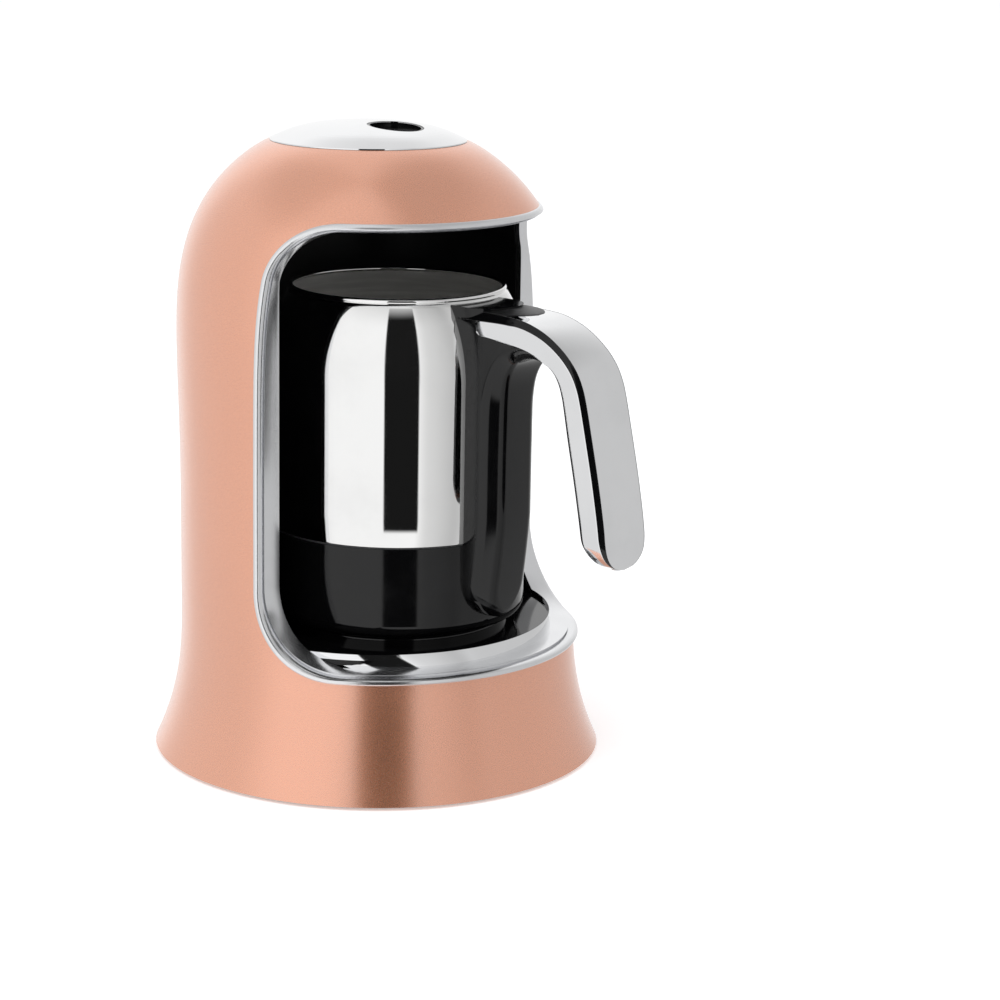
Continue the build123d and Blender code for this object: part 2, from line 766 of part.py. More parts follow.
# ---------------------------------------------------------------- pot: handle outline
root_y = -jug_forward - spine_reach
tip_y = -jug_forward - handle_reach
foot_y = tip_y + grip_thickness
grip_slope = grip_lean / (handle_top - grip_foot)
arch_radius = 18.0
crown_radius = 28.0
inner_radius = 13.0
foot_rounding = 5.2
foot_corner = 11.5
inner_edge = 2.4  # rounding along the handle's inner face
tongue_lap = 8.0  # the chrome tongues reach this far back over the spine
tongue_middle = handle_top - 6.7
tongue_half = 2.7
tongue_fall = 3.0  # the tongues' lower edge falls this much towards the grip
seam_offset = 2.2  # chrome seam in front of the grip's inner face
seam_radius = 9.0
insert_start = 4.0  # the black top insert narrows from here, in front of the spine
insert_length = 12.5
insert_rim = 1.2
bolt_height = 158.0
bolt_radius = 2.0


def grip_outline(inset):
    """Side outline of the handle, with its outer faces moved inwards by an inset."""
    arch_y = root_y - arch_radius
    turn = arch_radius * sin(radians(45))
    start = (root_y, handle_top - inset)
    arch_start = (arch_y, arch_height)
    arch_end = (root_y, arch_height - arch_radius)
    with BuildLine() as outline:
        FilletPolyline(
            start,
            (tip_y + grip_lean + inset, handle_top - inset),
            (tip_y + inset, grip_foot + inset),
            (foot_y, grip_foot + inset),
            (foot_y + grip_slope * (arch_height - grip_foot), arch_height),
            arch_start,
            radius=(crown_radius - inset, foot_rounding - inset, foot_rounding - inset, inner_radius),
        )
        ThreePointArc(arch_start, (arch_y + turn, arch_height - arch_radius + turn), arch_end)
        Line(arch_end, start)
    return outline.line


def chrome_outline():
    """Side outline of the handle's chrome zone with the tongue that laps the spine."""
    tip = root_y + tongue_lap
    low = tongue_middle - tongue_half
    high = tongue_middle + tongue_half
    seam_top = low - tongue_fall
    outside = tip_y - 10
    below = grip_foot - 5
    above = handle_top + 1
    seam_foot = (foot_y - seam_offset, below)
    seam_corner = (foot_y - seam_offset + grip_slope * (seam_top - grip_foot), seam_top)
    with BuildLine() as outline:
        FilletPolyline(seam_foot, seam_corner, (tip - tongue_half, low), radius=seam_radius)
        ThreePointArc((tip - tongue_half, low), (tip, tongue_middle), (tip - tongue_half, high))
        Polyline(
            (tip - tongue_half, high),
            (root_y, high + 1.4),
            (root_y - insert_start, handle_top - 0.8),
            (root_y - insert_start - 1, above),
            (outside, above),
            (outside, below),
            seam_foot,
        )
    return outline.line


def side_block(outline):
    """Block swept across the handle by a side outline."""
    with BuildPart() as block:
        with BuildSketch(Plane.YZ):
            make_face(outline.edges())
        extrude(amount=2 * spine_half_width, both=True)
    return block.part


def width_block(inset):
    """Block that tapers from the spine to the grip, as seen from above, with a rounded foot."""
    root_half = spine_half_width + 0.1 - inset
    grip_half = handle_half_width - 0.5 - inset
    with BuildPart() as block:
        with BuildSketch():
            Polygon(
                (-root_half, root_y + 10),
                (-grip_half, tip_y - 5),
                (grip_half, tip_y - 5),
                (root_half, root_y + 10),
                align=None,
            )
        extrude(amount=2 * handle_top)
        with BuildSketch(Plane.XZ):
            with Locations((0, grip_foot + handle_top)):
                RectangleRounded(2 * spine_half_width + 1, 2 * handle_top, foot_corner)
        extrude(amount=-2 * tip_y, both=True, mode=Mode.INTERSECT)
    return block.part


def is_long_edge(edge):
    """Tell whether an edge runs along the handle between its root and its foot."""
    middle = edge @ 0.5
    on_side = abs(middle.X) > 0.5 * handle_half_width
    on_root = middle.Y > root_y - 0.5
    on_foot = middle.Z < grip_foot + foot_corner
    return on_side and not on_root and not on_foot


def is_outer_edge(edge):
    """Tell whether an edge runs along the handle's outer face."""
    middle = edge @ 0.5
    grip_middle = foot_y + grip_slope * (middle.Z - grip_foot) - grip_thickness / 2
    outside = middle.Z > arch_height + grip_thickness / 2 or middle.Y < grip_middle
    return is_long_edge(edge) and outside


def is_inner_edge(edge):
    """Tell whether an edge runs along the handle's inner face."""
    middle = edge @ 0.5
    below_roof = middle.Z < arch_height + 1
    behind = middle.Y > foot_y + grip_slope * (middle.Z - grip_foot) - 0.5
    return is_long_edge(edge) and below_roof and behind


handle_width = width_block(0)
handle_sides = side_block(grip_outline(0))
core_sides = side_block(grip_outline(chrome_thickness))
core_width = width_block(chrome_thickness)
chrome_zone = side_block(chrome_outline())
bolt_plane = Plane(origin=(0, 0, bolt_height), x_dir=(1, 0, 0), z_dir=(0, -1, 0))
bolt_reach = 22.0  # from the spine's front to the bolt's head
bolt_head_y = root_y - bolt_reach
bolt_head_height = 2.6
bolt_head_radius = 3.5


def bolt_rod(radius, start_y, end_y):
    """Round rod along the handle bolt's axis."""
    with BuildPart() as rod:
        with BuildSketch(bolt_plane.offset(-start_y)):
            Circle(radius)
        extrude(amount=start_y - end_y)
    return rod.part


with BuildPart() as handle_full:
    add(handle_sides)
    add(handle_width, mode=Mode.INTERSECT)
    outer_edges = [edge for edge in handle_full.edges() if is_outer_edge(edge)]
    fillet(outer_edges, handle_edge)
    inner_edges = [edge for edge in handle_full.edges() if is_inner_edge(edge)]
    fillet(inner_edges, inner_edge)

# Root block that the tongues are cut from.
with BuildPart() as tongue_root:
    with BuildSketch(Plane.XY.offset(arch_height)):
        with Locations((0, root_y)):
            Rectangle(4 * spine_half_width, tongue_lap + 1, align=(Align.CENTER, Align.MIN))
    extrude(amount=handle_top - arch_height)
    add(handle_width, mode=Mode.INTERSECT)

with BuildPart() as core_pocket:
    add(core_sides)
    with BuildSketch(Plane.XY.offset(arch_height)):
        with Locations((0, root_y - 1)):
            Rectangle(4 * spine_half_width, tongue_lap + 3, align=(Align.CENTER, Align.MIN))
    extrude(amount=handle_top - arch_height)
    add(core_width, mode=Mode.INTERSECT)

insert_half = spine_half_width - insert_rim
with BuildPart() as top_insert:
    with BuildSketch(Plane.XY.offset(handle_top - 2 * chrome_thickness)):
        Polygon(
            (-insert_half, root_y + 1),
            (-insert_half, root_y - insert_start),
            (0, root_y - insert_length),
            (insert_half, root_y - insert_start),
            (insert_half, root_y + 1),
            align=None,
        )
    extrude(amount=4 * chrome_thickness)

foot_screw_y = (tip_y + foot_y) / 2
foot_screw_point = [(0, foot_screw_y)]
foot_head_top = grip_foot + small_head_height
foot_screw_length = 9.0

with BuildPart() as handle_shell:
    add(handle_full.part)
    add(tongue_root.part)
    add(chrome_zone, mode=Mode.INTERSECT)
    add(core_pocket.part, mode=Mode.SUBTRACT)
    add(top_insert.part, mode=Mode.SUBTRACT)
    add(pegs(small_head_radius + fit_gap, foot_screw_point, grip_foot - 1, foot_head_top), mode=Mode.SUBTRACT)
    add(
        pegs(small_screw_radius + fit_gap, foot_screw_point, grip_foot, grip_foot + 2 * chrome_thickness),
        mode=Mode.SUBTRACT,
    )
handle_shell.part.label = "handle_shell"

with BuildPart() as handle_core:
    add(handle_full.part)
    add(handle_shell.part, mode=Mode.SUBTRACT)
    add(pegs(small_head_radius + fit_gap, foot_screw_point, grip_foot - 1, foot_head_top), mode=Mode.SUBTRACT)
    add(
        pegs(small_screw_radius + fit_gap, foot_screw_point, grip_foot, foot_head_top + foot_screw_length),
        mode=Mode.SUBTRACT,
    )
    add(bolt_rod(bolt_radius + fit_gap, root_y + 1, bolt_head_y), mode=Mode.SUBTRACT)
    add(bolt_rod(bolt_head_radius + fit_gap, bolt_head_y, tip_y), mode=Mode.SUBTRACT)
handle_core.part.label = "handle_core"

with BuildPart() as shell_screw:
    add(pegs(small_head_radius, foot_screw_point, grip_foot, foot_head_top))
    add(pegs(small_screw_radius, foot_screw_point, foot_head_top, foot_head_top + foot_screw_length - 0.4))
shell_screw.part.label = "shell_screw"

boss_radius = 5.0
boss_end_y = root_y + 4.5
boss_length = 15.5
bolt_end_y = root_y + 8.5

with BuildPart() as handle_boss:
    add(bolt_rod(boss_radius, boss_end_y + boss_length, boss_end_y))
    add(vessel_outside, mode=Mode.SUBTRACT)
    add(bolt_rod(bolt_radius + 0.05, boss_end_y + boss_length, boss_end_y), mode=Mode.SUBTRACT)
handle_boss.part.label = "handle_boss"

with BuildPart() as handle_bolt:
    add(bolt_rod(bolt_radius, bolt_end_y, bolt_head_y))
    add(bolt_rod(bolt_head_radius, bolt_head_y, bolt_head_y - bolt_head_height))
handle_bolt.part.label = "handle_bolt"

# ---------------------------------------------------------------- pot: black cup with the spine
spine_bottom = jug_bottom + 6.3
spine_corner = 10.0
spine_taper = 4.5  # the spine's lower end lies this far behind its front
spine_taper_top = 90.0
cup_floor = jug_bottom + 3.0
cup_inside_radius = jug_radius - cup_wall
cover_radius = 39.4
cup_hole_radius = cover_radius + fit_gap

with BuildPart() as spine_sides:
    with BuildSketch(Plane.YZ):
        Polygon(
            (-jug_forward, spine_bottom - 1),
            (root_y + spine_taper, spine_bottom - 1),
            (root_y + spine_taper, spine_bottom),
            (root_y, spine_taper_top),
            (root_y, handle_top),
            (-jug_forward, handle_top),
            align=None,
        )
    extrude(amount=2 * spine_half_width, both=True)

with BuildPart() as spine:
    with BuildSketch(Plane.XY.offset(spine_bottom - 2)):
        with Locations((0, root_y)):
            Rectangle(2 * spine_half_width, spine_reach, align=(Align.CENTER, Align.MIN))
    extrude(amount=handle_top)
    front_edges = spine.edges().filter_by(Axis.Z).group_by(Axis.Y)[0]
    fillet(front_edges, spine_corner)
    add(spine_sides.part, mode=Mode.INTERSECT)
    with BuildSketch(Plane.XZ):
        with Locations((0, spine_bottom)):
            SlotOverall(4 * handle_top, 2 * spine_half_width, rotation=90, align=(Align.MIN, Align.CENTER))
    extrude(amount=2 * spine_reach, both=True, mode=Mode.INTERSECT)

boss_angles = (90, 210, 330)
cover_screw_circle = 36.9
cover_screw_radius = 1.0
cover_boss_radius = 1.9
cover_boss_top = 62.0
cover_wall = 2.0
head_recess = 0.6  # thickness left under each cover screw's head
cover_screw_points = ring_points(cover_screw_circle, boss_angles, jug_centre)
cover_boss_bottom = jug_bottom + cover_wall + fit_gap
cover_head_seat = jug_bottom + cover_wall - head_recess
rib_length = cup_inside_radius - cover_screw_circle
rib_width = 2.4

with BuildPart() as cover_bosses:
    add(pegs(cover_boss_radius, cover_screw_points, cover_boss_bottom, cover_boss_top))
    with BuildSketch(Plane.XY.offset(cup_floor)):
        with Locations(jug_centre):
            with PolarLocations(cover_screw_circle + rib_length / 2 + 0.5, 3, start_angle=boss_angles[0]):
                Rectangle(rib_length, rib_width)
    extrude(amount=cover_boss_top - cup_floor)
    add(
        pegs(cover_screw_radius + 0.05, cover_screw_points, cover_boss_bottom, cover_boss_top - 1),
        mode=Mode.SUBTRACT,
    )

with BuildPart() as jug_base:
    add(pegs(jug_radius, [jug_centre], jug_bottom, cup_top))
    fillet(jug_base.edges().group_by(Axis.Z)[0], cup_rounding)
    add(spine.part)
    add(pegs(cup_inside_radius, [jug_centre], cup_floor, cup_top), mode=Mode.SUBTRACT)
    add(pegs(cup_hole_radius, [jug_centre], jug_bottom - 1, cup_floor), mode=Mode.SUBTRACT)
    add(pegs(jug_radius + fit_gap, [jug_centre], cup_top, shoulder_height), mode=Mode.SUBTRACT)
    add(vessel_solid(-fit_gap), mode=Mode.SUBTRACT)
    add(pegs(rim_radius + 1, [jug_centre], shoulder_height, rim_height + 2), mode=Mode.SUBTRACT)
    add(bolt_rod(boss_radius + fit_gap, boss_end_y + boss_length, boss_end_y), mode=Mode.SUBTRACT)
    add(bolt_rod(bolt_radius + fit_gap, boss_end_y, root_y - 1), mode=Mode.SUBTRACT)
    add(handle_shell.part, mode=Mode.SUBTRACT)
    add(cover_bosses.part)
jug_base.part.label = "jug_base"

# ---------------------------------------------------------------- pot: heater and contacts in the cup
plate_radius = 38.0
plate_height = 4.4
plate_bottom = vessel_floor - plate_height
element_radius = 3.2
element_circle = 28.0
recess_top = jug_bottom + recess_depth
socket_radius = 14.0
thermostat_radius = 8.0
thermostat_rim = 10.0
thermostat_rim_height = 1.2
fuse_radius = 2.0
fuse_length = 10.0
fuse_forward = 17.0  # the fuse lies this far in front of the pot's axis
contact_pin = 2.5
contact_root = 1.5
element_arc = 300.0
socket_top = recess_top + 4.0
contact_drop = 2.1
cover_side = 0.8
cover_ceiling = 1.5

with BuildPart() as heating_plate:
    add(pegs(plate_radius, [jug_centre], plate_bottom, vessel_floor))
    fillet(heating_plate.edges().group_by(Axis.Z)[0], 0.8)
heating_plate.part.label = "heating_plate"

with BuildPart() as heating_element:
    with BuildSketch(jug_plane):
        with Locations((element_circle, plate_bottom - element_radius)):
            Circle(element_radius)
    revolve(axis=jug_axis, revolution_arc=element_arc)
heating_element.part.label = "heating_element"

with BuildPart() as thermostat:
    add(pegs(thermostat_radius, [jug_centre], socket_top, plate_bottom))
    add(pegs(thermostat_rim, [jug_centre], plate_bottom - thermostat_rim_height, plate_bottom))
thermostat.part.label = "thermostat"

with BuildPart() as thermal_fuse:
    with BuildSketch(Plane.YZ.offset(-fuse_length / 2)):
        with Locations((-jug_forward - fuse_forward, plate_bottom - fuse_radius)):
            Circle(fuse_radius)
    extrude(amount=fuse_length)
thermal_fuse.part.label = "thermal_fuse"

with BuildPart() as jug_base_cover:
    add(pegs(cover_radius, [jug_centre], jug_bottom, jug_bottom + cover_wall))
    add(pegs(recess_radius + cover_side, [jug_centre], jug_bottom, recess_top + cover_ceiling))
    add(pegs(recess_radius, [jug_centre], jug_bottom, recess_top), mode=Mode.SUBTRACT)
    add(
        pegs(socket_radius + fit_gap, [jug_centre], recess_top, recess_top + cover_ceiling),
        mode=Mode.SUBTRACT,
    )
    add(
        pegs(cover_boss_radius + fit_gap, cover_screw_points, jug_bottom, cover_head_seat),
        mode=Mode.SUBTRACT,
    )
    add(
        pegs(cover_screw_radius + fit_gap, cover_screw_points, jug_bottom, jug_bottom + cover_wall),
        mode=Mode.SUBTRACT,
    )
jug_base_cover.part.label = "jug_base_cover"

with BuildPart() as jug_base_screws:
    add(pegs(cover_boss_radius - fit_gap, cover_screw_points, jug_bottom + seat_gap, cover_head_seat))
    add(pegs(cover_screw_radius, cover_screw_points, cover_head_seat, cover_boss_top - 1.5))
jug_base_screws.part.label = "jug_base_screws"

ring_sizes = ((9.0, 11.0), (5.0, 7.0))
with BuildPart() as socket_contacts:
    add(pegs(contact_pin, [jug_centre], recess_top - contact_drop, recess_top + contact_root))
    with BuildSketch(Plane.XY.offset(recess_top - contact_drop)):
        for ring_low, ring_high in ring_sizes:
            with Locations(jug_centre):
                Circle(ring_high)
                Circle(ring_low, mode=Mode.SUBTRACT)
    extrude(amount=contact_drop + contact_root)
socket_contacts.part.label = "socket_contacts"

with BuildPart() as jug_socket:
    add(pegs(socket_radius, [jug_centre], recess_top, socket_top))
    add(pegs(socket_radius + 2, [jug_centre], recess_top + cover_ceiling, socket_top))
    add(socket_contacts.part, mode=Mode.SUBTRACT)
jug_socket.part.label = "jug_socket"

# ---------------------------------------------------------------- files
pieces = [
    outer_shell,
    chrome_frame,
    cavity_liner,
    boil_sensor,
    jug_platform,
    base_plate,
    rubber_feet,
    base_screws,
    cord_gland,
    base_connector,
    connector_studs,
    connector_screws,
    power_board,
    power_board_screws,
    relay,
    filter_capacitor,
    terminal_block,
    top_cap,
    button_bezel,
    board_carrier,
    cap_screws,
    control_board,
    board_screws,
    start_button,
    button_spring,
    tact_switch,
    indicator_led,
    buzzer,
    wiring_harness,
    jug_vessel,
    jug_seal,
    jug_base,
    handle_shell,
    handle_core,
    handle_boss,
    handle_bolt,
    shell_screw,
    heating_plate,
    heating_element,
    thermostat,
    thermal_fuse,
    jug_base_cover,
    jug_base_screws,
    jug_socket,
    socket_contacts,
]
for piece in pieces:
    export_step(piece.part, f"{parts_folder}/{piece.part.label}.step")
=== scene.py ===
"""Looks of an electric turkish coffee maker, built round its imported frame.

Lengths are in metres unless a name or a comment says millimetres. The origin is on the counter at the stand's
axis, +Z is up, and the bay with the pot opens towards -Y.
"""

from __future__ import annotations

import json
import logging
import math
from dataclasses import dataclass, field
from enum import Enum
from typing import Iterable, Sequence

import bmesh
import bpy
from mathutils import Matrix, Vector

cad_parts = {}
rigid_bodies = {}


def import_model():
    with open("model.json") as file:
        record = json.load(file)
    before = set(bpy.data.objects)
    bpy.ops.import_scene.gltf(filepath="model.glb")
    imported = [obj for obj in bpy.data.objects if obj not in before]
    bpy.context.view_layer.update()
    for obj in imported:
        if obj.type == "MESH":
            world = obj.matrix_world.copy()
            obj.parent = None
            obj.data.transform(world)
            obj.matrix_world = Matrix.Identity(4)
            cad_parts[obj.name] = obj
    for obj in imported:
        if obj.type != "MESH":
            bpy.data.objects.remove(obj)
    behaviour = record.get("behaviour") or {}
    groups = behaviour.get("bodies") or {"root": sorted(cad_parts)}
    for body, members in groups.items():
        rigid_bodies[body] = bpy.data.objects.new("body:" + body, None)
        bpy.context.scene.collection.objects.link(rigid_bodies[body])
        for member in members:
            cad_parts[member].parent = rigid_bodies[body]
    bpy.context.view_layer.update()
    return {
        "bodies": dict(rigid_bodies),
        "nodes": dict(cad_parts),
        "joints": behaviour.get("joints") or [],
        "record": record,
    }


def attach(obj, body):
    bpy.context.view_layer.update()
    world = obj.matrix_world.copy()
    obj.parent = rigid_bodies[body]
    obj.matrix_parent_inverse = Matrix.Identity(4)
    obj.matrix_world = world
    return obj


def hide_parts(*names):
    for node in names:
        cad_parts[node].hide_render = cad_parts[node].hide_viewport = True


LOG = logging.getLogger("coffee_maker")
MM = 0.001
Colour = tuple[float, float, float]
Point = tuple[float, float, float]
Pair = tuple[float, float]


# ------------------------------------------------------------------ shader maths
class Value:
    """Number carried by a socket; arithmetic on it adds Math nodes to its graph."""

    def __init__(self, graph: Graph, socket: bpy.types.NodeSocket) -> None:
        """Wrap a socket.

        Args:
            graph: The graph that the socket's node belongs to.
            socket: The socket that gives the number.
        """
        self.graph = graph
        self.socket = socket

    def _math(self, operation: str, *others: float | Value) -> Value:
        """Add one Math node on this value and up to two others.

        Args:
            operation: Name of the Math node's operation.
            others: The other operands, numbers or values.

        Returns:
            The node's result.
        """
        inputs = {0: self, **{place: other for place, other in enumerate(others, 1)}}
        return self.graph.value("ShaderNodeMath", {"operation": operation}, inputs)

    def __add__(self, other: float | Value) -> Value:
        """Sum of this and another."""
        return self._math("ADD", other)

    __radd__ = __add__

    def __sub__(self, other: float | Value) -> Value:
        """This less another."""
        return self._math("SUBTRACT", other)

    def __rsub__(self, other: float) -> Value:
        """A number less this."""
        return self.graph.value("ShaderNodeMath", {"operation": "SUBTRACT"}, {0: other, 1: self})

    def __mul__(self, other: float | Value) -> Value:
        """Product of this and another."""
        return self._math("MULTIPLY", other)

    __rmul__ = __mul__

    def __truediv__(self, other: float | Value) -> Value:
        """This over another."""
        return self._math("DIVIDE", other)

    def power(self, exponent: float) -> Value:
        """This raised to an exponent."""
        return self._math("POWER", exponent)

    def absolute(self) -> Value:
        """Size of this without its sign."""
        return self._math("ABSOLUTE")

    def larger(self, other: float | Value) -> Value:
        """The larger of this and another."""
        return self._math("MAXIMUM", other)

    def wave(self, turns: float) -> Value:
        """Sine of this times a number of turns."""
        return (self * (turns * math.tau))._math("SINE")

    def spread(self, low: float, high: float, to_low: float = 0.0, to_high: float = 1.0) -> Value:
        """Map a range smoothly onto another and hold it there.

        Args:
            low: Start of the range that is read.
            high: End of the range that is read.
            to_low: Result at the start.
            to_high: Result at the end.

        Returns:
            The mapped value.
        """
        return self.graph.value(
            "ShaderNodeMapRange",
            {"interpolation_type": "SMOOTHSTEP"},
            {"Value": self, "From Min": low, "From Max": high, "To Min": to_low, "To Max": to_high},
        )


class Graph:
    """Node tree of one material or of the world, with short calls for adding nodes."""

    def __init__(self, tree: bpy.types.NodeTree) -> None:
        """Take over an empty tree.

        Args:
            tree: The node tree to fill.
        """
        self.tree = tree
        tree.nodes.clear()

    def node(self, kind: str, settings: dict[str, object], inputs: dict[str | int, object]) -> bpy.types.Node:
        """Add a node, set it up, then give its sockets their values or links.

        Args:
            kind: The node's type name.
            settings: Properties that are set first, such as an operation.
            inputs: Numbers, colours, values or sockets by socket name or place.

        Returns:
            The new node.
        """
        node = self.tree.nodes.new(kind)
        for name, setting in settings.items():
            setattr(node, name, setting)
        for place, given in inputs.items():
            socket = node.inputs[place]
            source = given.socket if isinstance(given, Value) else given
            if isinstance(source, bpy.types.NodeSocket):
                self.tree.links.new(source, socket)
            elif isinstance(source, tuple) and len(source) == 3 and socket.type == "RGBA":
                socket.default_value = (*source, 1.0)
            else:
                socket.default_value = source
        return node

    def value(self, kind: str, settings: dict[str, object], inputs: dict[str | int, object]) -> Value:
        """Add a node and wrap its first output as a number.

        Args:
            kind: The node's type name.
            settings: Properties that are set first.
            inputs: Values or links of its sockets.

        Returns:
            The wrapped output.
        """
        return Value(self, self.node(kind, settings, inputs).outputs[0])

    def place(self) -> bpy.types.NodeSocket:
        """Point of the surface in the object's own frame."""
        return self.node("ShaderNodeTexCoord", {}, {}).outputs["Object"]

    def stretched(self, scale: Point) -> bpy.types.NodeSocket:
        """Point of the surface, scaled along each axis."""
        inputs = {"Vector": self.place(), "Scale": scale}
        return self.node("ShaderNodeMapping", {}, inputs).outputs["Vector"]

    def axes(self) -> tuple[Value, Value, Value]:
        """The surface point's three coordinates."""
        split = self.node("ShaderNodeSeparateXYZ", {}, {0: self.place()})
        return Value(self, split.outputs[0]), Value(self, split.outputs[1]), Value(self, split.outputs[2])

    def noise(self, scale: float, detail: float = 2.0, roughness: float = 0.5, where: object = None) -> Value:
        """Smooth noise.

        Args:
            scale: Features per metre.
            detail: Octaves.
            roughness: Weight of the finer octaves.
            where: Vector socket to sample at; the surface point when left out.

        Returns:
            The noise, about 0.5 in the middle.
        """
        inputs = {"Vector": where or self.place(), "Scale": scale, "Detail": detail, "Roughness": roughness}
        return self.value("ShaderNodeTexNoise", {}, inputs)

    def cells(self, scale: float, where: object = None) -> Value:
        """Distance to the nearest of many scattered points.

        Args:
            scale: Points per metre.
            where: Vector socket to sample at; the surface point when left out.

        Returns:
            The distance in cells.
        """
        return self.value("ShaderNodeTexVoronoi", {}, {"Vector": where or self.place(), "Scale": scale})

    def blend(self, factor: float | Value, first: object, second: object) -> bpy.types.NodeSocket:
        """Mix two colours.

        Args:
            factor: 0 gives the first, 1 the second.
            first: Colour or socket.
            second: Colour or socket.

        Returns:
            The mixed colour's socket.
        """
        node = self.node("ShaderNodeMix", {"data_type": "RGBA"}, {0: factor, 6: first, 7: second})
        return node.outputs[2]

    def choose(
        self, factor: bpy.types.NodeSocket, first: bpy.types.Node, second: bpy.types.Node
    ) -> bpy.types.Node:
        """Mix two shaders.

        Args:
            factor: 0 gives the first, 1 the second.
            first: Shader node.
            second: Shader node.

        Returns:
            The mixing node.
        """
        return self.node("ShaderNodeMixShader", {}, {0: factor, 1: first.outputs[0], 2: second.outputs[0]})

    def bump(self, height: Value, depth: float, strength: float = 1.0) -> bpy.types.NodeSocket:
        """Bend the normal by a height.

        Args:
            height: The height, 0 to 1.
            depth: Depth in metres that 1 stands for.
            strength: Share of the effect.

        Returns:
            The bent normal's socket.
        """
        inputs = {"Height": height, "Distance": depth, "Strength": strength}
        return self.node("ShaderNodeBump", {}, inputs).outputs["Normal"]


@dataclass(frozen=True)
class Finish:
    """Surface finish that turns into one material; the fields are the plain Principled sockets.

    Attributes:
        name: Name of the material.
        colour: Base colour, linear.
        metallic: 1 for bare metal.
        roughness: Mean roughness.
        coat: Weight of a clear coat.
        coat_roughness: Roughness of that coat.
        coat_index: Refractive index of that coat; a high one gives a pearly sheen.
        specular: Specular level of a non-metal.
    """

    name: str
    colour: Colour
    metallic: float = 0.0
    roughness: float = 0.5
    coat: float = 0.0
    coat_roughness: float = 0.05
    coat_index: float = 1.5
    specular: float = 0.5

    def detail(self, graph: Graph) -> dict[str, object]:
        """What changes over the surface, by Principled socket; a finish overrides this."""
        return {}

    def build(self) -> bpy.types.Material:
        """Make the material.

        Returns:
            The material with its node tree.
        """
        material = bpy.data.materials.new(self.name)
        material.use_nodes = True
        graph = Graph(material.node_tree)
        inputs: dict[str | int, object] = {
            "Base Color": self.colour,
            "Metallic": self.metallic,
            "Roughness": self.roughness,
            "Coat Weight": self.coat,
            "Coat Roughness": self.coat_roughness,
            "Coat IOR": self.coat_index,
            "Specular IOR Level": self.specular,
        }
        inputs.update(self.detail(graph))
        shader = graph.node("ShaderNodeBsdfPrincipled", {}, inputs)
        graph.node("ShaderNodeOutputMaterial", {}, {"Surface": shader.outputs["BSDF"]})
        return material


# ------------------------------------------------------------------ finishes
@dataclass(frozen=True)
class SatinCopper(Finish):
    """Rose copper paint with metal flake: fine grain, soft clouding and a worn sheen."""

    grain: float = 5200.0
    grain_depth: float = 0.00002

    def detail(self, graph: Graph) -> dict[str, object]:
        """Flake grain in colour, roughness and normal.

        Args:
            graph: Graph of the material.

        Returns:
            Sockets by Principled name.
        """
        flake = graph.noise(self.grain, detail=1.0)
        cloud = graph.noise(14.0, detail=3.0)
        tone = flake.spread(0.25, 0.75, 0.0, 0.55) + cloud.spread(0.3, 0.7, 0.0, 0.25)
        deep = tuple(0.9 * part for part in self.colour)
        light = tuple(min(1.0, 1.06 * part) for part in self.colour)
        return {
            "Base Color": graph.blend(tone, deep, light),
            "Roughness": flake.spread(0.2, 0.8, self.roughness - 0.05, self.roughness + 0.05),
            "Normal": graph.bump(flake, self.grain_depth, 0.5),
        }


@dataclass(frozen=True)
class Plated(Finish):
    """Bright plated or polished metal with faint haze and hairline wear."""

    haze: float = 0.03

    def detail(self, graph: Graph) -> dict[str, object]:
        """Haze in roughness and a breath of tone in colour.

        Args:
            graph: Graph of the material.

        Returns:
            Sockets by Principled name.
        """
        cloud = graph.noise(38.0, detail=4.0, roughness=0.6)
        hairs = graph.noise(900.0, detail=1.0, where=graph.stretched((1.0, 1.0, 0.04)))
        haze = cloud.spread(0.35, 0.75) * self.haze + hairs.spread(0.62, 0.8) * (0.4 * self.haze)
        dull = tuple(0.95 * part for part in self.colour)
        return {
            "Base Color": graph.blend(cloud.spread(0.4, 0.8), self.colour, dull),
            "Roughness": haze + self.roughness,
        }


@dataclass(frozen=True)
class Brushed(Finish):
    """Metal brushed round an upright axis, with streaks in tone, roughness and normal."""

    centre: Pair = (0.0, 0.0)
    streaks: float = 2600.0

    def detail(self, graph: Graph) -> dict[str, object]:
        """Rings round the axis, finer on the wall than on the floor.

        Args:
            graph: Graph of the material.

        Returns:
            Sockets by Principled name.
        """
        across, along, height = graph.axes()
        out_x, out_y = across - self.centre[0], along - self.centre[1]
        reach = (out_x * out_x + out_y * out_y).power(0.5)
        line = reach * 1.4 + height
        where = graph.node("ShaderNodeCombineXYZ", {}, {0: line, 1: out_x * 0.02, 2: out_y * 0.02})
        streak = graph.noise(self.streaks, detail=2.0, where=where.outputs[0])
        dull = tuple(0.8 * part for part in self.colour)
        return {
            "Base Color": graph.blend(streak.spread(0.3, 0.7), dull, self.colour),
            "Roughness": streak.spread(0.25, 0.75, self.roughness - 0.08, self.roughness + 0.1),
            "Normal": graph.bump(streak, 0.00002, 0.4),
        }


@dataclass(frozen=True)
class Moulded(Finish):
    """Moulded plastic or rubber: fine orange peel or a stippled grain, with faint dust marks."""

    grain: float = 900.0
    grain_depth: float = 0.00002
    spread: float = 0.04

    def detail(self, graph: Graph) -> dict[str, object]:
        """Grain in normal and roughness, a little lighter where dust stays.

        Args:
            graph: Graph of the material.

        Returns:
            Sockets by Principled name.
        """
        grain = graph.noise(self.grain, detail=2.0)
        dust = graph.noise(55.0, detail=5.0, roughness=0.65)
        lifted = tuple(min(1.0, part * 1.25 + 0.002) for part in self.colour)
        rough = dust.spread(0.45, 0.8, self.roughness, self.roughness + self.spread)
        return {
            "Base Color": graph.blend(dust.spread(0.45, 0.75), self.colour, lifted),
            "Roughness": rough + (grain - 0.5) * (0.5 * self.spread),
            "Normal": graph.bump(grain, self.grain_depth, 0.5),
        }


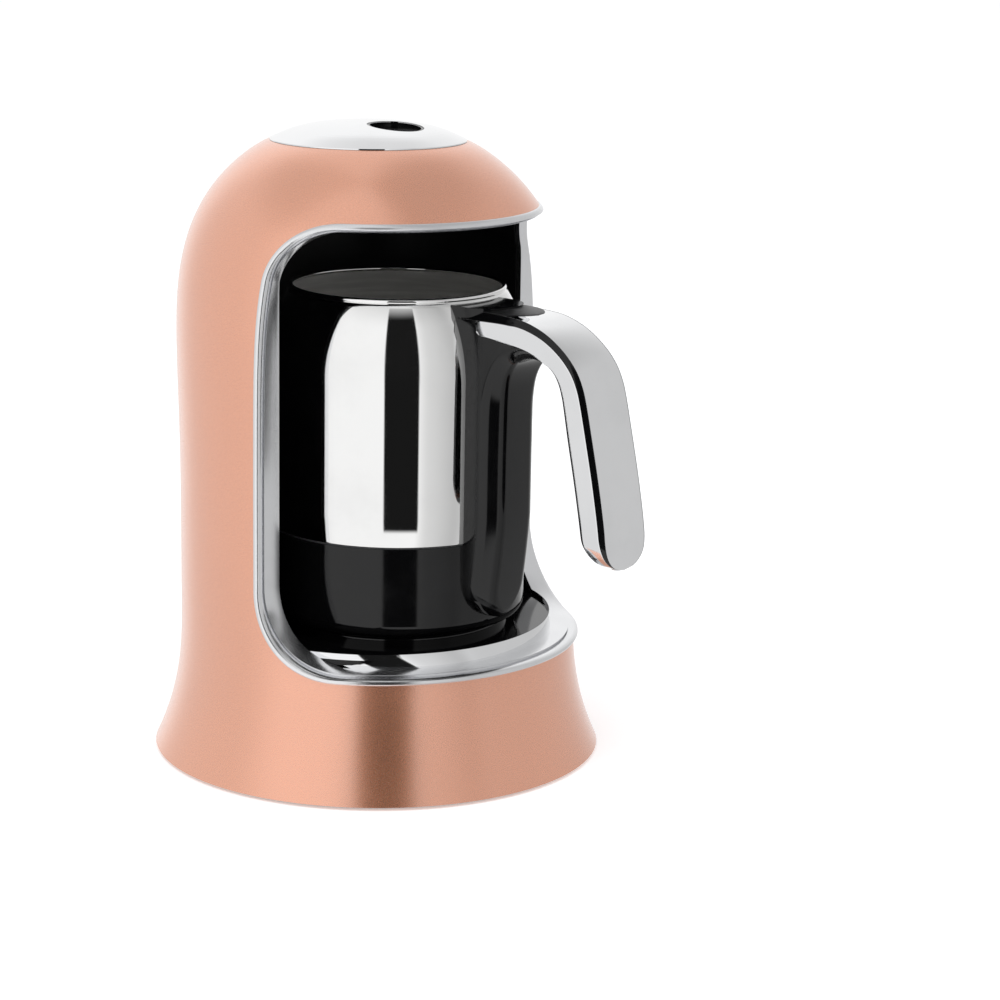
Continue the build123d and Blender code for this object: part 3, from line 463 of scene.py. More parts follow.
@dataclass(frozen=True)
class CircuitBoard(Finish):
    """Solder mask over tracks, with pads at scattered points."""

    mask: Colour = (0.006, 0.075, 0.03)
    track: Colour = (0.02, 0.16, 0.06)
    pad: Colour = (0.55, 0.50, 0.42)

    def detail(self, graph: Graph) -> dict[str, object]:
        """Tracks from a stepped wave, pads from cells.

        Args:
            graph: Graph of the material.

        Returns:
            Sockets by Principled name.
        """
        across, along, _ = graph.axes()
        bend = graph.noise(45.0, detail=0.0)
        tracks = (across + along.wave(40.0) * 0.002 + bend * 0.02).wave(420.0).spread(0.3, 0.55)
        pads = graph.cells(210.0).spread(0.2, 0.24, 1.0, 0.0)
        masked = graph.blend(tracks, self.mask, self.track)
        return {
            "Base Color": graph.blend(pads, masked, self.pad),
            "Metallic": pads,
            "Roughness": pads.spread(0.0, 1.0, 0.35, 0.25),
            "Normal": graph.bump(tracks, 0.00004),
        }


@dataclass(frozen=True)
class Lead(Finish):
    """Two insulated wires side by side in one sleeve, told apart by colour bands along their length."""

    second: Colour = (0.03, 0.12, 0.45)

    def detail(self, graph: Graph) -> dict[str, object]:
        """Split the sleeve into two twisted colours.

        Args:
            graph: Graph of the material.

        Returns:
            Sockets by Principled name.
        """
        across, _, height = graph.axes()
        twist = (across * 260.0 + height * 34.0).wave(1.0)
        return {
            "Base Color": graph.blend(twist.spread(-0.15, 0.15), self.colour, self.second),
            "Normal": graph.bump(twist.absolute(), 0.0003),
        }


class Slot(Enum):
    """Material slots of the record, each with the finish that its nodes and pieces take."""

    COPPER = "copper"
    CHROME = "chrome"
    BLACK_GLOSS = "black_gloss"
    BLACK_SATIN = "black_satin"
    BUTTON_DARK = "button_dark"
    STEEL = "steel"
    ALUMINIUM = "aluminium"
    BRASS = "brass"
    RUBBER = "rubber"
    SILICONE = "silicone"
    ZINC = "zinc"
    BOARD = "board"
    INSULATOR = "insulator"
    COMPONENT = "component"
    TERMINAL = "terminal"
    LED = "led"
    WIRE = "wire"
    DARK_PLASTIC = "dark_plastic"


POT_AXIS_MM = (0.0, -8.4)
POT_AXIS = (MM * POT_AXIS_MM[0], MM * POT_AXIS_MM[1])
FINISHES: dict[Slot, Finish] = {
    Slot.COPPER: SatinCopper(
        "satin_copper", (0.96, 0.375, 0.195), metallic=0.8, roughness=0.28, coat=1.0, coat_roughness=0.21,
        coat_index=2.6,
    ),
    Slot.CHROME: Plated("bright_chrome", (0.90, 0.905, 0.915), metallic=1.0, roughness=0.03),
    Slot.BLACK_GLOSS: Moulded(
        "black_gloss", (0.0025, 0.0025, 0.0028), roughness=0.09, specular=0.42, grain=160.0
    ),
    Slot.BLACK_SATIN: Moulded(
        "black_satin", (0.005, 0.005, 0.0054), roughness=0.32, specular=0.2, grain=2400.0
    ),
    Slot.BUTTON_DARK: Moulded("button_dark", (0.012, 0.012, 0.013), roughness=0.22, coat=0.4, grain=700.0),
    Slot.STEEL: Brushed("brushed_steel", (0.62, 0.61, 0.585), metallic=1.0, roughness=0.26, centre=POT_AXIS),
    Slot.ALUMINIUM: Brushed(
        "turned_aluminium", (0.72, 0.72, 0.73), metallic=1.0, roughness=0.32, centre=POT_AXIS
    ),
    Slot.BRASS: Plated("turned_brass", (0.78, 0.56, 0.24), metallic=1.0, roughness=0.22, haze=0.12),
    Slot.RUBBER: Moulded(
        "foot_rubber", (0.018, 0.018, 0.019), roughness=0.75, grain=1800.0, grain_depth=0.00006
    ),
    Slot.SILICONE: Moulded("seal_silicone", (0.03, 0.03, 0.032), roughness=0.5, grain=900.0),
    Slot.ZINC: Plated("zinc_screws", (0.60, 0.61, 0.64), metallic=1.0, roughness=0.28, haze=0.15),
    Slot.BOARD: CircuitBoard("circuit_board", (0.01, 0.1, 0.04), roughness=0.35),
    Slot.INSULATOR: Moulded("ceramic_insulator", (0.62, 0.58, 0.50), roughness=0.45, grain=1500.0),
    Slot.COMPONENT: Moulded("component_case", (0.03, 0.05, 0.12), roughness=0.4, grain=1200.0),
    Slot.TERMINAL: Moulded("terminal_case", (0.05, 0.28, 0.12), roughness=0.45, grain=1200.0),
    Slot.LED: Moulded("indicator_lens", (0.65, 0.06, 0.03), roughness=0.12, coat=0.5, grain=300.0),
    Slot.WIRE: Lead("twin_lead", (0.45, 0.04, 0.03), roughness=0.4),
    Slot.DARK_PLASTIC: Moulded("dark_plastic", (0.022, 0.022, 0.024), roughness=0.5, grain=1600.0),
}
SATIN_CHROME = Plated("satin_chrome", (0.84, 0.845, 0.86), metallic=1.0, roughness=0.2)
MIRROR_STEEL = Plated("mirror_steel", (0.90, 0.90, 0.895), metallic=1.0, roughness=0.03, haze=0.035)
SATIN_STEEL = Brushed(
    "satin_steel", (0.86, 0.85, 0.82), metallic=0.45, roughness=0.42, centre=POT_AXIS, streaks=1500.0
)


class Paintbox:
    """Makes each finish's material once and hands it out by slot."""

    def __init__(self) -> None:
        """Start with no materials made."""
        self._made: dict[Slot, bpy.types.Material] = {}

    def __getitem__(self, slot: Slot) -> bpy.types.Material:
        """Material of a slot, made on first use.

        Args:
            slot: The slot.

        Returns:
            Its material.
        """
        if slot not in self._made:
            self._made[slot] = FINISHES[slot].build()
        return self._made[slot]

    def dress(self, piece: bpy.types.Object, slot: Slot) -> None:
        """Give a piece one material in place of whatever it has.

        Args:
            piece: The object.
            slot: The slot whose finish it takes.
        """
        materials = piece.data.materials
        if not materials:
            materials.append(self[slot])
        for place in range(len(materials)):
            materials[place] = self[slot]

    @staticmethod
    def coat(piece: bpy.types.Object, finish: Finish) -> None:
        """Give a piece a finish of its own, apart from its slot's."""
        piece.data.materials.clear()
        piece.data.materials.append(finish.build())


# ------------------------------------------------------------------ mesh building
class MeshKit:
    """Builds smooth meshes from rows of points that are given in millimetres."""

    crease = math.radians(32.0)

    @classmethod
    def raw(cls, name: str, points: Iterable[Point], faces: Iterable[Sequence[int]]) -> bpy.types.Object:
        """Make an object from points and faces.

        Args:
            name: Name of the piece.
            points: Points in millimetres.
            faces: Vertex numbers of each face.

        Returns:
            The new object, linked to the scene.
        """
        mesh = bpy.data.meshes.new(name)
        places = [tuple(MM * part for part in point) for point in points]
        mesh.from_pydata(places, [], [tuple(face) for face in faces])
        cls._finish(mesh)
        piece = bpy.data.objects.new(name, mesh)
        bpy.context.collection.objects.link(piece)
        return piece

    @classmethod
    def _finish(cls, mesh: bpy.types.Mesh) -> None:
        """Weld doubles, point the faces outwards and shade smooth except at creases.

        Args:
            mesh: The mesh to finish.
        """
        work = bmesh.new()
        work.from_mesh(mesh)
        bmesh.ops.remove_doubles(work, verts=work.verts, dist=1e-7)
        bmesh.ops.dissolve_degenerate(work, dist=1e-7, edges=work.edges)
        bmesh.ops.recalc_face_normals(work, faces=work.faces)
        work.to_mesh(mesh)
        work.free()
        mesh.shade_smooth()
        mesh.set_sharp_from_angle(angle=cls.crease)
        mesh.update()

    @classmethod
    def rows(cls, name: str, rows: Sequence[Sequence[Point]], ring: bool = False) -> bpy.types.Object:
        """Make a skin over rows of points.

        Args:
            name: Name of the piece.
            rows: Rows with the same number of points each.
            ring: Whether each row closes on itself.

        Returns:
            The new object.
        """
        wide, tall = len(rows[0]), len(rows)
        points = [point for row in rows for point in row]
        faces = []
        for upper in range(tall - 1):
            below, above = upper * wide, (upper + 1) * wide
            for left in range(wide if ring else wide - 1):
                right = (left + 1) % wide
                faces.append((below + left, below + right, above + right, above + left))
        return cls.raw(name, points, faces)

    @classmethod
    def capped(cls, name: str, rings: Sequence[Sequence[Point]]) -> bpy.types.Object:
        """Make a closed skin over rings, with the first and the last drawn to their middles.

        Args:
            name: Name of the piece.
            rings: Rings with the same number of points each.

        Returns:
            The new object.
        """
        ends = []
        for ring in (rings[0], rings[-1]):
            middle = tuple(sum(point[axis] for point in ring) / len(ring) for axis in range(3))
            ends.append([middle] * len(ring))
        return cls.rows(name, [ends[0], *rings, ends[1]], ring=True)

    @classmethod
    def lathe(cls, name: str, profile: Sequence[Pair], centre: Pair, steps: int = 96) -> bpy.types.Object:
        """Turn a profile round an upright axis.

        Args:
            name: Name of the piece.
            profile: Radius and height of each point.
            centre: The axis' place.
            steps: Points round each ring.

        Returns:
            The new object.
        """
        turns = [math.tau * step / steps for step in range(steps)]
        around = [(math.cos(turn), math.sin(turn)) for turn in turns]
        rows = [
            [(centre[0] + radius * across, centre[1] + radius * along, height) for across, along in around]
            for radius, height in profile
        ]
        return cls.rows(name, rows, ring=True)


def merged(name: str, pieces: Sequence[bpy.types.Object]) -> bpy.types.Object:
    """Join several objects' meshes into one piece and drop the originals.

    Args:
        name: Name of the joined piece.
        pieces: Objects to join, none of them moved from the origin.

    Returns:
        The joined object.
    """
    points: list[Point] = []
    faces: list[list[int]] = []
    for piece in pieces:
        first = len(points)
        points += [tuple(vertex.co / MM) for vertex in piece.data.vertices]
        faces += [[first + corner for corner in face.vertices] for face in piece.data.polygons]
        bpy.data.objects.remove(piece)
    return MeshKit.raw(name, points, faces)


# ------------------------------------------------------------------ studio
@dataclass
class StudioCamera:
    """Camera at three quarters from the front, a little above the object.

    Attributes:
        distance: Distance of the lens from the stand's axis, over the counter.
        height: Height of the lens above the counter.
        bearing: Degrees round from the front that the camera stands at.
        pan: Degrees that it looks past the axis.
        pitch: Degrees that it looks down.
        roll: Degrees that it leans.
        focal_pixels: Focal length in widths of one image point.
        image_width: Image points across.
        sensor: Width of the sensor in millimetres.
    """

    distance: float = 0.974394
    height: float = 0.321746
    bearing: float = -45.74
    pan: float = -2.55
    pitch: float = 13.41
    roll: float = -1.02
    focal_pixels: float = 2799.011
    image_width: float = 1000.0
    sensor: float = 36.0

    def place(self) -> Vector:
        """Where the lens is."""
        turn = math.radians(self.bearing)
        return Vector((self.distance * math.sin(turn), -self.distance * math.cos(turn), self.height))

    def _axes(self) -> tuple[Vector, Vector, Vector]:
        """Directions of the camera's own axes.

        Returns:
            Its right, up and backward directions.
        """
        turn = math.radians(self.bearing + self.pan)
        right = Vector((math.cos(turn), math.sin(turn), 0.0))
        level = Vector((-math.sin(turn), math.cos(turn), 0.0))
        pitch, roll = math.radians(self.pitch), math.radians(self.roll)
        forward = level * math.cos(pitch) - Vector((0, 0, 1)) * math.sin(pitch)
        down = -Vector((0, 0, 1)) * math.cos(pitch) - level * math.sin(pitch)
        leaned_right = right * math.cos(roll) + down * math.sin(roll)
        leaned_down = down * math.cos(roll) - right * math.sin(roll)
        return leaned_right, -leaned_down, -forward

    def build(self) -> None:
        """Make the camera and set it as the scene's."""
        data = bpy.data.cameras.new("studio_camera")
        data.sensor_width = self.sensor
        data.lens = self.focal_pixels / self.image_width * self.sensor
        data.clip_start = 0.01
        camera = bpy.data.objects.new("studio_camera", data)
        bpy.context.collection.objects.link(camera)
        columns = (*self._axes(), self.place())
        rows = [[column[row] for column in columns] for row in range(3)]
        camera.matrix_world = Matrix([*rows, [0, 0, 0, 1]])
        bpy.context.scene.camera = camera


@dataclass(frozen=True)
class Shade:
    """Upright strip of the world that shiny surfaces see darker.

    Attributes:
        bearing: Direction of its middle, degrees from +X.
        half: Half of its width in degrees.
        soft: Width of its soft edge in degrees.
        dim: Share of the light that it takes.
    """

    bearing: float
    half: float
    soft: float
    dim: float

    def cover(self, east: Value, north: Value, level: Value) -> Value:
        """How far a direction points at the strip.

        Args:
            east: The direction's X.
            north: The direction's Y.
            level: Length of the direction over the counter.

        Returns:
            1 on the strip, 0 beside it.
        """
        turn, edge = math.radians(self.bearing), self.soft / 2
        outer, inner = math.radians(self.half + edge), math.radians(self.half - edge)
        cosine = (east * math.cos(turn) + north * math.sin(turn)) / level
        return cosine.spread(math.cos(outer), math.cos(inner))


@dataclass(frozen=True)
class Lamp:
    """Square soft lamp that shiny surfaces do not show.

    Attributes:
        name: Name of the lamp.
        place: Where it hangs.
        size: Its side.
        power: Its power in watts.
    """

    name: str
    place: Point
    size: float
    power: float

    def build(self, aim: Point) -> None:
        """Hang the lamp and turn it towards a point.

        Args:
            aim: The point.
        """
        data = bpy.data.lights.new(self.name, "AREA")
        data.size = self.size
        data.energy = self.power
        lamp = bpy.data.objects.new(self.name, data)
        lamp.visible_glossy = False
        lamp.location = self.place
        lamp.rotation_euler = (Vector(aim) - Vector(self.place)).to_track_quat("-Z", "Y").to_euler()
        bpy.context.collection.objects.link(lamp)


@dataclass
class Studio:
    """White studio: a bright world with one dark screen for metal to show, soft lamps and a pale floor.

    Attributes:
        camera: The camera, whose side of the studio is where the dark screen stands.
        screen: The dark screen.
        screen_top: Height where the screen ends, degrees above the counter.
        screen_fade: Rise over which its top edge fades.
        screen_low: Rise of the directions where the screen's foot ends.
        foot_fade: Half of the rise over which its foot fades.
        shades: The studio's dimmer side, the strip between that and the screen, and its dimmer back.
        ceiling: Rises between which the ceiling darkens.
        ceiling_tone: Share of the light that the ceiling keeps.
        plain_colour: Light on surfaces that are not shiny.
        plain_strength: Strength of that light.
        lamp_set: Key lamp from the upper left and weak fill from the right.
        aim: Where the lamps point.
        floor_reach: Half of the floor's side.
        floor_glow: What the floor adds towards the camera so that it stands white.
    """

    camera: StudioCamera = field(default_factory=StudioCamera)
    screen: Shade = Shade(-131.6, 15.0, 1.6, 0.99)
    screen_top: float = 42.0
    screen_fade: float = 0.2
    screen_low: float = -0.36
    foot_fade: float = 0.03
    shades: tuple[Shade, ...] = (
        Shade(-35.0, 50.0, 56.0, 0.4), Shade(-96.0, 17.0, 14.0, 0.26), Shade(120.0, 35.0, 30.0, 0.22)
    )
    ceiling: Pair = (0.55, 0.85)
    ceiling_tone: float = 0.78
    plain_colour: Colour = (0.93, 0.94, 0.96)
    plain_strength: float = 0.82
    lamp_set: tuple[Lamp, ...] = (
        Lamp("key_lamp", (-0.9, -0.1, 1.5), 1.2, 9.0), Lamp("fill_lamp", (1.1, -0.9, 1.1), 1.4, 4.0)
    )
    aim: Point = (0.0, 0.0, 0.1)
    floor_reach: float = 7.0
    floor_glow: float = 0.32

    def world(self) -> None:
        """Build the world: plain light for matt surfaces, screen and shades for shiny ones, white behind."""
        world = bpy.data.worlds.new("studio")
        bpy.context.scene.world = world
        world.use_nodes = True
        graph = Graph(world.node_tree)
        where = graph.node("ShaderNodeTexCoord", {}, {}).outputs["Generated"]
        split = graph.node("ShaderNodeSeparateXYZ", {}, {0: where})
        east, north, up = (Value(graph, split.outputs[place]) for place in range(3))
        level = (east * east + north * north).power(0.5).larger(0.001)
        top = math.sin(math.radians(self.screen_top))
        low_enough = up.spread(top, top + self.screen_fade, 1.0, 0.0)
        high_enough = up.spread(self.screen_low - self.foot_fade, self.screen_low + self.foot_fade)
        tone = 1 - self.screen.cover(east, north, level) * low_enough * high_enough * self.screen.dim
        for shade in self.shades:
            tone = tone * (1 - shade.cover(east, north, level) * shade.dim)
        tone = tone * up.spread(*self.ceiling, 1.0, self.ceiling_tone)
        shown = graph.node("ShaderNodeCombineColor", {}, {0: tone, 1: tone, 2: tone}).outputs[0]
        path = graph.node("ShaderNodeLightPath", {}, {})
        glossy = graph.node("ShaderNodeBackground", {}, {"Color": shown, "Strength": 1.0})
        plain = graph.node(
            "ShaderNodeBackground", {}, {"Color": self.plain_colour, "Strength": self.plain_strength}
        )
        white = graph.node("ShaderNodeBackground", {}, {"Color": (1.0, 1.0, 1.0), "Strength": 1.0})
        lit = graph.choose(path.outputs["Is Glossy Ray"], plain, glossy)
        seen = graph.choose(path.outputs["Is Camera Ray"], lit, white)
        graph.node("ShaderNodeOutputWorld", {}, {"Surface": seen.outputs[0]})

    def floor(self) -> None:
        """Lay the pale counter, white to the camera, with the object's shadow kept."""
        reach = self.floor_reach / MM
        corners = [(-reach, -reach, 0), (reach, -reach, 0), (reach, reach, 0), (-reach, reach, 0)]
        floor = MeshKit.raw("counter", corners, [(0, 1, 2, 3)])
        material = bpy.data.materials.new("counter_white")
        material.use_nodes = True
        graph = Graph(material.node_tree)
        grain = graph.noise(30.0, detail=2.0)
        matt = graph.node(
            "ShaderNodeBsdfPrincipled",
            {},
            {
                "Base Color": graph.blend(grain, (0.90, 0.90, 0.90), (0.92, 0.92, 0.92)),
                "Roughness": 0.85,
                "Specular IOR Level": 0.0,
            },
        )
        glow = graph.node("ShaderNodeEmission", {}, {"Color": (1.0, 1.0, 1.0), "Strength": self.floor_glow})
        path = graph.node("ShaderNodeLightPath", {}, {})
        lifted = graph.node("ShaderNodeAddShader", {}, {0: matt.outputs[0], 1: glow.outputs[0]})
        seen = graph.choose(path.outputs["Is Camera Ray"], matt, lifted)
        clear = graph.node("ShaderNodeBsdfTransparent", {}, {})
        surface = graph.choose(path.outputs["Is Glossy Ray"], seen, clear)
        graph.node("ShaderNodeOutputMaterial", {}, {"Surface": surface.outputs[0]})
        floor.data.materials.append(material)

    def build(self) -> None:
        """Set up the whole studio."""
        bpy.context.scene.view_settings.view_transform = "Standard"
        self.camera.build()
        self.world()
        for lamp in self.lamp_set:
            lamp.build(self.aim)
        self.floor()
        LOG.info("studio: camera, world, two lamps and the counter")


# ------------------------------------------------------------------ shape of the stand
@dataclass
class BodyOutline:
    """Turned outline of the stand: flared foot, straight body and a dome that leans back, in millimetres.

    Attributes:
        base_radius: Radius at the foot.
        body_radius: Radius of the straight body.
        shell_bottom: Height of the shell's lower edge.
        flare_height: Height where the flare ends.
        flare_power: How late the flare opens.
        dome_start: Height where the dome begins.
        seat_height: Height of the cap's seat.
        cap_radius: Radius there.
        dome_powers: How late the dome closes in, and how it meets the seat.
        top_setback: How far the seat lies behind the axis.
        setback_start: Height where the lean begins.
        setback_power: How late it grows.
        steepest: Largest slant that is reckoned with.
    """

    base_radius: float = 80.0
    body_radius: float = 70.4
    shell_bottom: float = 1.2
    flare_height: float = 50.0
    flare_power: float = 2.4
    dome_start: float = 120.0
    seat_height: float = 216.9
    cap_radius: float = 34.6
    dome_powers: Pair = (4.0, 0.85)
    top_setback: float = 6.3
    setback_start: float = 100.0
    setback_power: float = 1.4
    steepest: float = 2.0

    def radius(self, height: float) -> float:
        """Outer radius at a height.

        Args:
            height: Height above the counter.

        Returns:
            The radius.
        """
        if height < self.flare_height:
            left = (self.flare_height - height) / (self.flare_height - self.shell_bottom)
            return self.body_radius + (self.base_radius - self.body_radius) * left**self.flare_power
        if height < self.dome_start:
            return self.body_radius
        climbed = min((height - self.dome_start) / (self.seat_height - self.dome_start), 1.0)
        late, meet = self.dome_powers
        return self.cap_radius + (self.body_radius - self.cap_radius) * (1 - climbed**late) ** meet

    def setback(self, height: float) -> float:
        """How far the body's centre lies behind the axis at a height."""
        climbed = max(height - self.setback_start, 0.0) / (self.seat_height - self.setback_start)
        return self.top_setback * climbed**self.setback_power

    def slant(self, height: float) -> float:
        """Horizontal length of one millimetre of wall at a height."""
        return min(math.hypot(1.0, self.radius(height + 0.5) - self.radius(height - 0.5)), self.steepest)


@dataclass
class OpeningFrame:
    """Chrome frame round the bay: an outer bead, a set-back face and a bowed lip at the bottom.

    Attributes:
        back: Distance of the opening's upright edges in front of the axis.
        bottom: Height of the opening's lower edge.
        top: Height of its upper edge.
        lower_corner: Side-view radius of the lower corner.
        upper_corner: Side-view radius of the upper corner.
        lip_stand: How far the bead stands out at the bottom.
        upright_stand: How far it stands out at the sides and the top.
        bead: Width of the bead.
        groove: Width of the groove beside it.
        step_back: Depth of the face behind the copper.
        bay_radius: Inner radius of the bay.
        bay_inset: Distance from the dome's surface to the bay.
        seam: Gap between lines that would otherwise coincide.
        skirt: How deep the bead's outer side reaches into the copper.
        wall_sink: How deep the skin's last lines lie inside the bay's wall.
        bead_rise: Shares of the bead's width and height up its outer edge.
        bead_fall: The same down its inner edge.
        shoulder: Width of the face's rounded edge at the groove.
        shoulder_rise: How far that edge stands over the face's depth.
        face_shares: Places of the lines across the face.
        crown: How far the face is crowned.
        loop_steps: Points along a level edge, the lower corner, an upright and the upper corner.
        slope: Distance behind the bead's outer edge, and height over the bead, of the lip's slope.
        crest: The same for the middle of its crest.
        lip_rise: Height of the lip over the bead.
        lip_foot: Height of its lower end inside the bay.
        lip_steps: Points along half of the lip.
    """

    outline: BodyOutline = field(default_factory=BodyOutline)
    back: float = 9.3
    bottom: float = 41.5
    top: float = 195.5
    lower_corner: float = 30.0
    upper_corner: float = 20.0
    lip_stand: float = 1.8
    upright_stand: float = 0.5
    bead: float = 2.1
    groove: float = 0.6
    step_back: float = 1.9
    bay_radius: float = 61.8
    bay_inset: float = 4.6
    seam: float = 0.02
    skirt: float = 3.0
    wall_sink: float = 0.7
    bead_rise: tuple[Pair, ...] = ((0.0, 0.5), (0.08, 0.82), (0.3, 1.0))
    bead_fall: tuple[Pair, ...] = ((0.72, 0.95), (0.9, 0.75), (0.98, 0.42), (1.0, 0.0))
    shoulder: float = 0.2
    shoulder_rise: float = 0.22
    face_shares: tuple[float, ...] = (0.06, 0.3, 0.6, 0.85, 0.94, 0.985)
    crown: float = 0.5
    loop_steps: tuple[int, int, int, int] = (40, 28, 26, 24)
    slope: tuple[Pair, ...] = ((0.35, 0.1), (2.9, 2.9), (5.6, 5.0))
    crest: Pair = (7.4, 5.85)
    lip_rise: float = 6.15
    lip_foot: float = 47.4
    lip_steps: int = 90

    def _stand(self, height: float) -> float:
        """How far the bead stands out of the copper.

        Args:
            height: Height of the point.

        Returns:
            The distance.
        """
        share = min(max((height - self.bottom) / self.lower_corner, 0.0), 1.0)
        return self.lip_stand + (self.upright_stand - self.lip_stand) * share

    def _inner_half(self, deep: float, height: float, sunk: float) -> float:
        """Half width of the bay at a depth and height.

        Args:
            deep: Y of the point.
            height: Height of the point.
            sunk: Distance inside the bay's wall.

        Returns:
            The bay's X there, 0 in front of the bay.
        """
        bay = (self.bay_radius + sunk) ** 2 - deep**2
        body = self.outline.radius(height) - (self.bay_inset - sunk) * self.outline.slant(height)
        dome = body**2 - (deep - self.outline.setback(height)) ** 2
        return math.sqrt(max(min(bay, dome), 0.0))

    def _outer_half(self, deep: float, height: float, offset: float) -> float:
        """Half width of a surface that follows the body.

        Args:
            deep: Y of the point.
            height: Height of the point.
            offset: Distance outside the copper.

        Returns:
            The surface's X there, 0 in front of it.
        """
        radius = self.outline.radius(height) + offset * self.outline.slant(height)
        return math.sqrt(max(radius**2 - (deep - self.outline.setback(height)) ** 2, 0.0))

    def _front(self, height: float, offset: float | None) -> float:
        """Y where a surface crosses the middle plane in front.

        Args:
            height: Height of the point.
            offset: Distance outside the copper, or None for the bay's own wall.

        Returns:
            The Y.
        """
        if offset is None:
            body = self.outline.radius(height) - self.bay_inset * self.outline.slant(height)
            return max(-self.bay_radius, self.outline.setback(height) - body)
        copper = self.outline.radius(height) + offset * self.outline.slant(height)
        return self.outline.setback(height) - copper

    def _loop(self, inset: float, offset: float | str) -> list[Point]:
        """One line round the opening.

        Args:
            inset: Inset from the opening's side outline.
            offset: Distance outside the copper; "bead" for the bead's own, "bay" for the bay's wall, "wall"
                for a line inside that.

        Returns:
            Points from the lower middle up one side and over to the upper middle, then the other side.
        """
        flat, corner, upright, bend = self.loop_steps
        low_hub = (-self.back - self.lower_corner, self.bottom + self.lower_corner)
        high_hub = (-self.back - self.upper_corner, self.top - self.upper_corner)
        low, high = self.lower_corner - inset, self.upper_corner - inset
        rise = (high_hub[1] - low_hub[1]) / upright
        path = self._flat(self.bottom + inset, low_hub[0], offset, flat)
        for turn in _turns(corner):
            path.append((low_hub[0] + low * math.sin(turn), low_hub[1] - low * math.cos(turn)))
        path += [(-self.back - inset, low_hub[1] + rise * step) for step in range(1, upright)]
        for turn in _turns(bend):
            path.append((high_hub[0] + high * math.cos(turn), high_hub[1] + high * math.sin(turn)))
        path += reversed(self._flat(self.top - inset, high_hub[0], offset, flat))
        side = [self._point(deep, height, offset) for deep, height in path]
        return side + [(-x, y, z) for x, y, z in reversed(side)]

    def _flat(self, height: float, corner: float, offset: float | str, steps: int) -> list[Pair]:
        """Places along a level edge from the front to a corner, evenly spread round the body.

        Args:
            height: Height of the edge.
            corner: Y of the corner.
            offset: As for a loop.
            steps: Number of places.

        Returns:
            Y and height of each place.
        """
        front = self._front(height, self._offset(height, offset))
        bay = offset in ("bay", "wall")
        hub = self.outline.setback(height) if not bay or height > self.outline.dome_start else 0.0
        radius = hub - front
        end = math.acos(max(min((hub - corner) / radius, 1.0), -1.0))
        return [(hub - radius * math.cos(end * step / steps), height) for step in range(steps)]

    def _offset(self, height: float, offset: float | str) -> float | None:
        """Number for an offset's name.

        Args:
            height: Height of the point.
            offset: As for a loop.

        Returns:
            Distance outside the copper; None stands for the bay's wall.
        """
        if offset in ("bay", "wall"):
            return None
        return self._stand(height) if offset == "bead" else float(offset)

    def _point(self, deep: float, height: float, offset: float | str) -> Point:
        """Point on one side.

        Args:
            deep: Y of the point.
            height: Height of the point.
            offset: As for a loop.

        Returns:
            The point in space.
        """
        known = self._offset(height, offset)
        if known is None:
            return self._inner_half(deep, height, self.wall_sink if offset == "wall" else 0.0), deep, height
        return self._outer_half(deep, height, known), deep, height

    def strips(self) -> bpy.types.Object:
        """Build the bead and the face as one skin round the opening.

        Returns:
            The piece.
        """
        rows = [self._loop(self.seam, -self.skirt), self._loop(self.seam, -0.1 * self.skirt)]
        rows += [self._between(*shares) for shares in self.bead_rise]
        rows.append(self._loop(0.5 * self.bead, "bead"))
        rows += [self._between(*shares) for shares in self.bead_fall]
        sunk, edge = -self.step_back, self.bead + self.groove
        inset = edge + self.shoulder
        rows += [
            self._loop(self.bead + self.seam, sunk - 0.5),
            self._loop(edge, sunk - 0.5),
            self._loop(edge + self.seam, sunk + 0.1),
            self._loop(inset, sunk + self.shoulder_rise),
        ]
        rows += self._inward(inset)
        rows += [self._loop(inset - 0.25, "bay"), self._loop(inset - 0.6, "wall"), self._loop(0.4, "wall")]
        return MeshKit.rows("frame_strips", rows)

    def _between(self, share_in: float, share_out: float) -> list[Point]:
        """Line on the bead's rounded edge.

        Args:
            share_in: Share of the bead's width.
            share_out: Share of its height over the copper.

        Returns:
            The line's points.
        """
        inset = self.bead * share_in + self.seam
        inner = self._loop(inset, 0.0 if share_in < 0.5 else 0.9 - self.step_back)
        outer = self._loop(inset, "bead")
        return [_mix(low, high, share_out) for low, high in zip(inner, outer)]

    def _inward(self, inset: float) -> list[list[Point]]:
        """Lines across the face towards the bay, a little crowned.

        Args:
            inset: Inset of the face's edge at the groove.

        Returns:
            The lines.
        """
        start, end = self._loop(inset, self.shoulder_rise - self.step_back), self._loop(inset, "bay")
        over = self._loop(inset + 1.0, "bay")
        lines = []
        for share in self.face_shares:
            lift = self.crown * share * (1 - share)
            flat = [_mix(low, high, share) for low, high in zip(start, end)]
            lines.append([_mix(point, raised, lift) for point, raised in zip(flat, over)])
        return lines

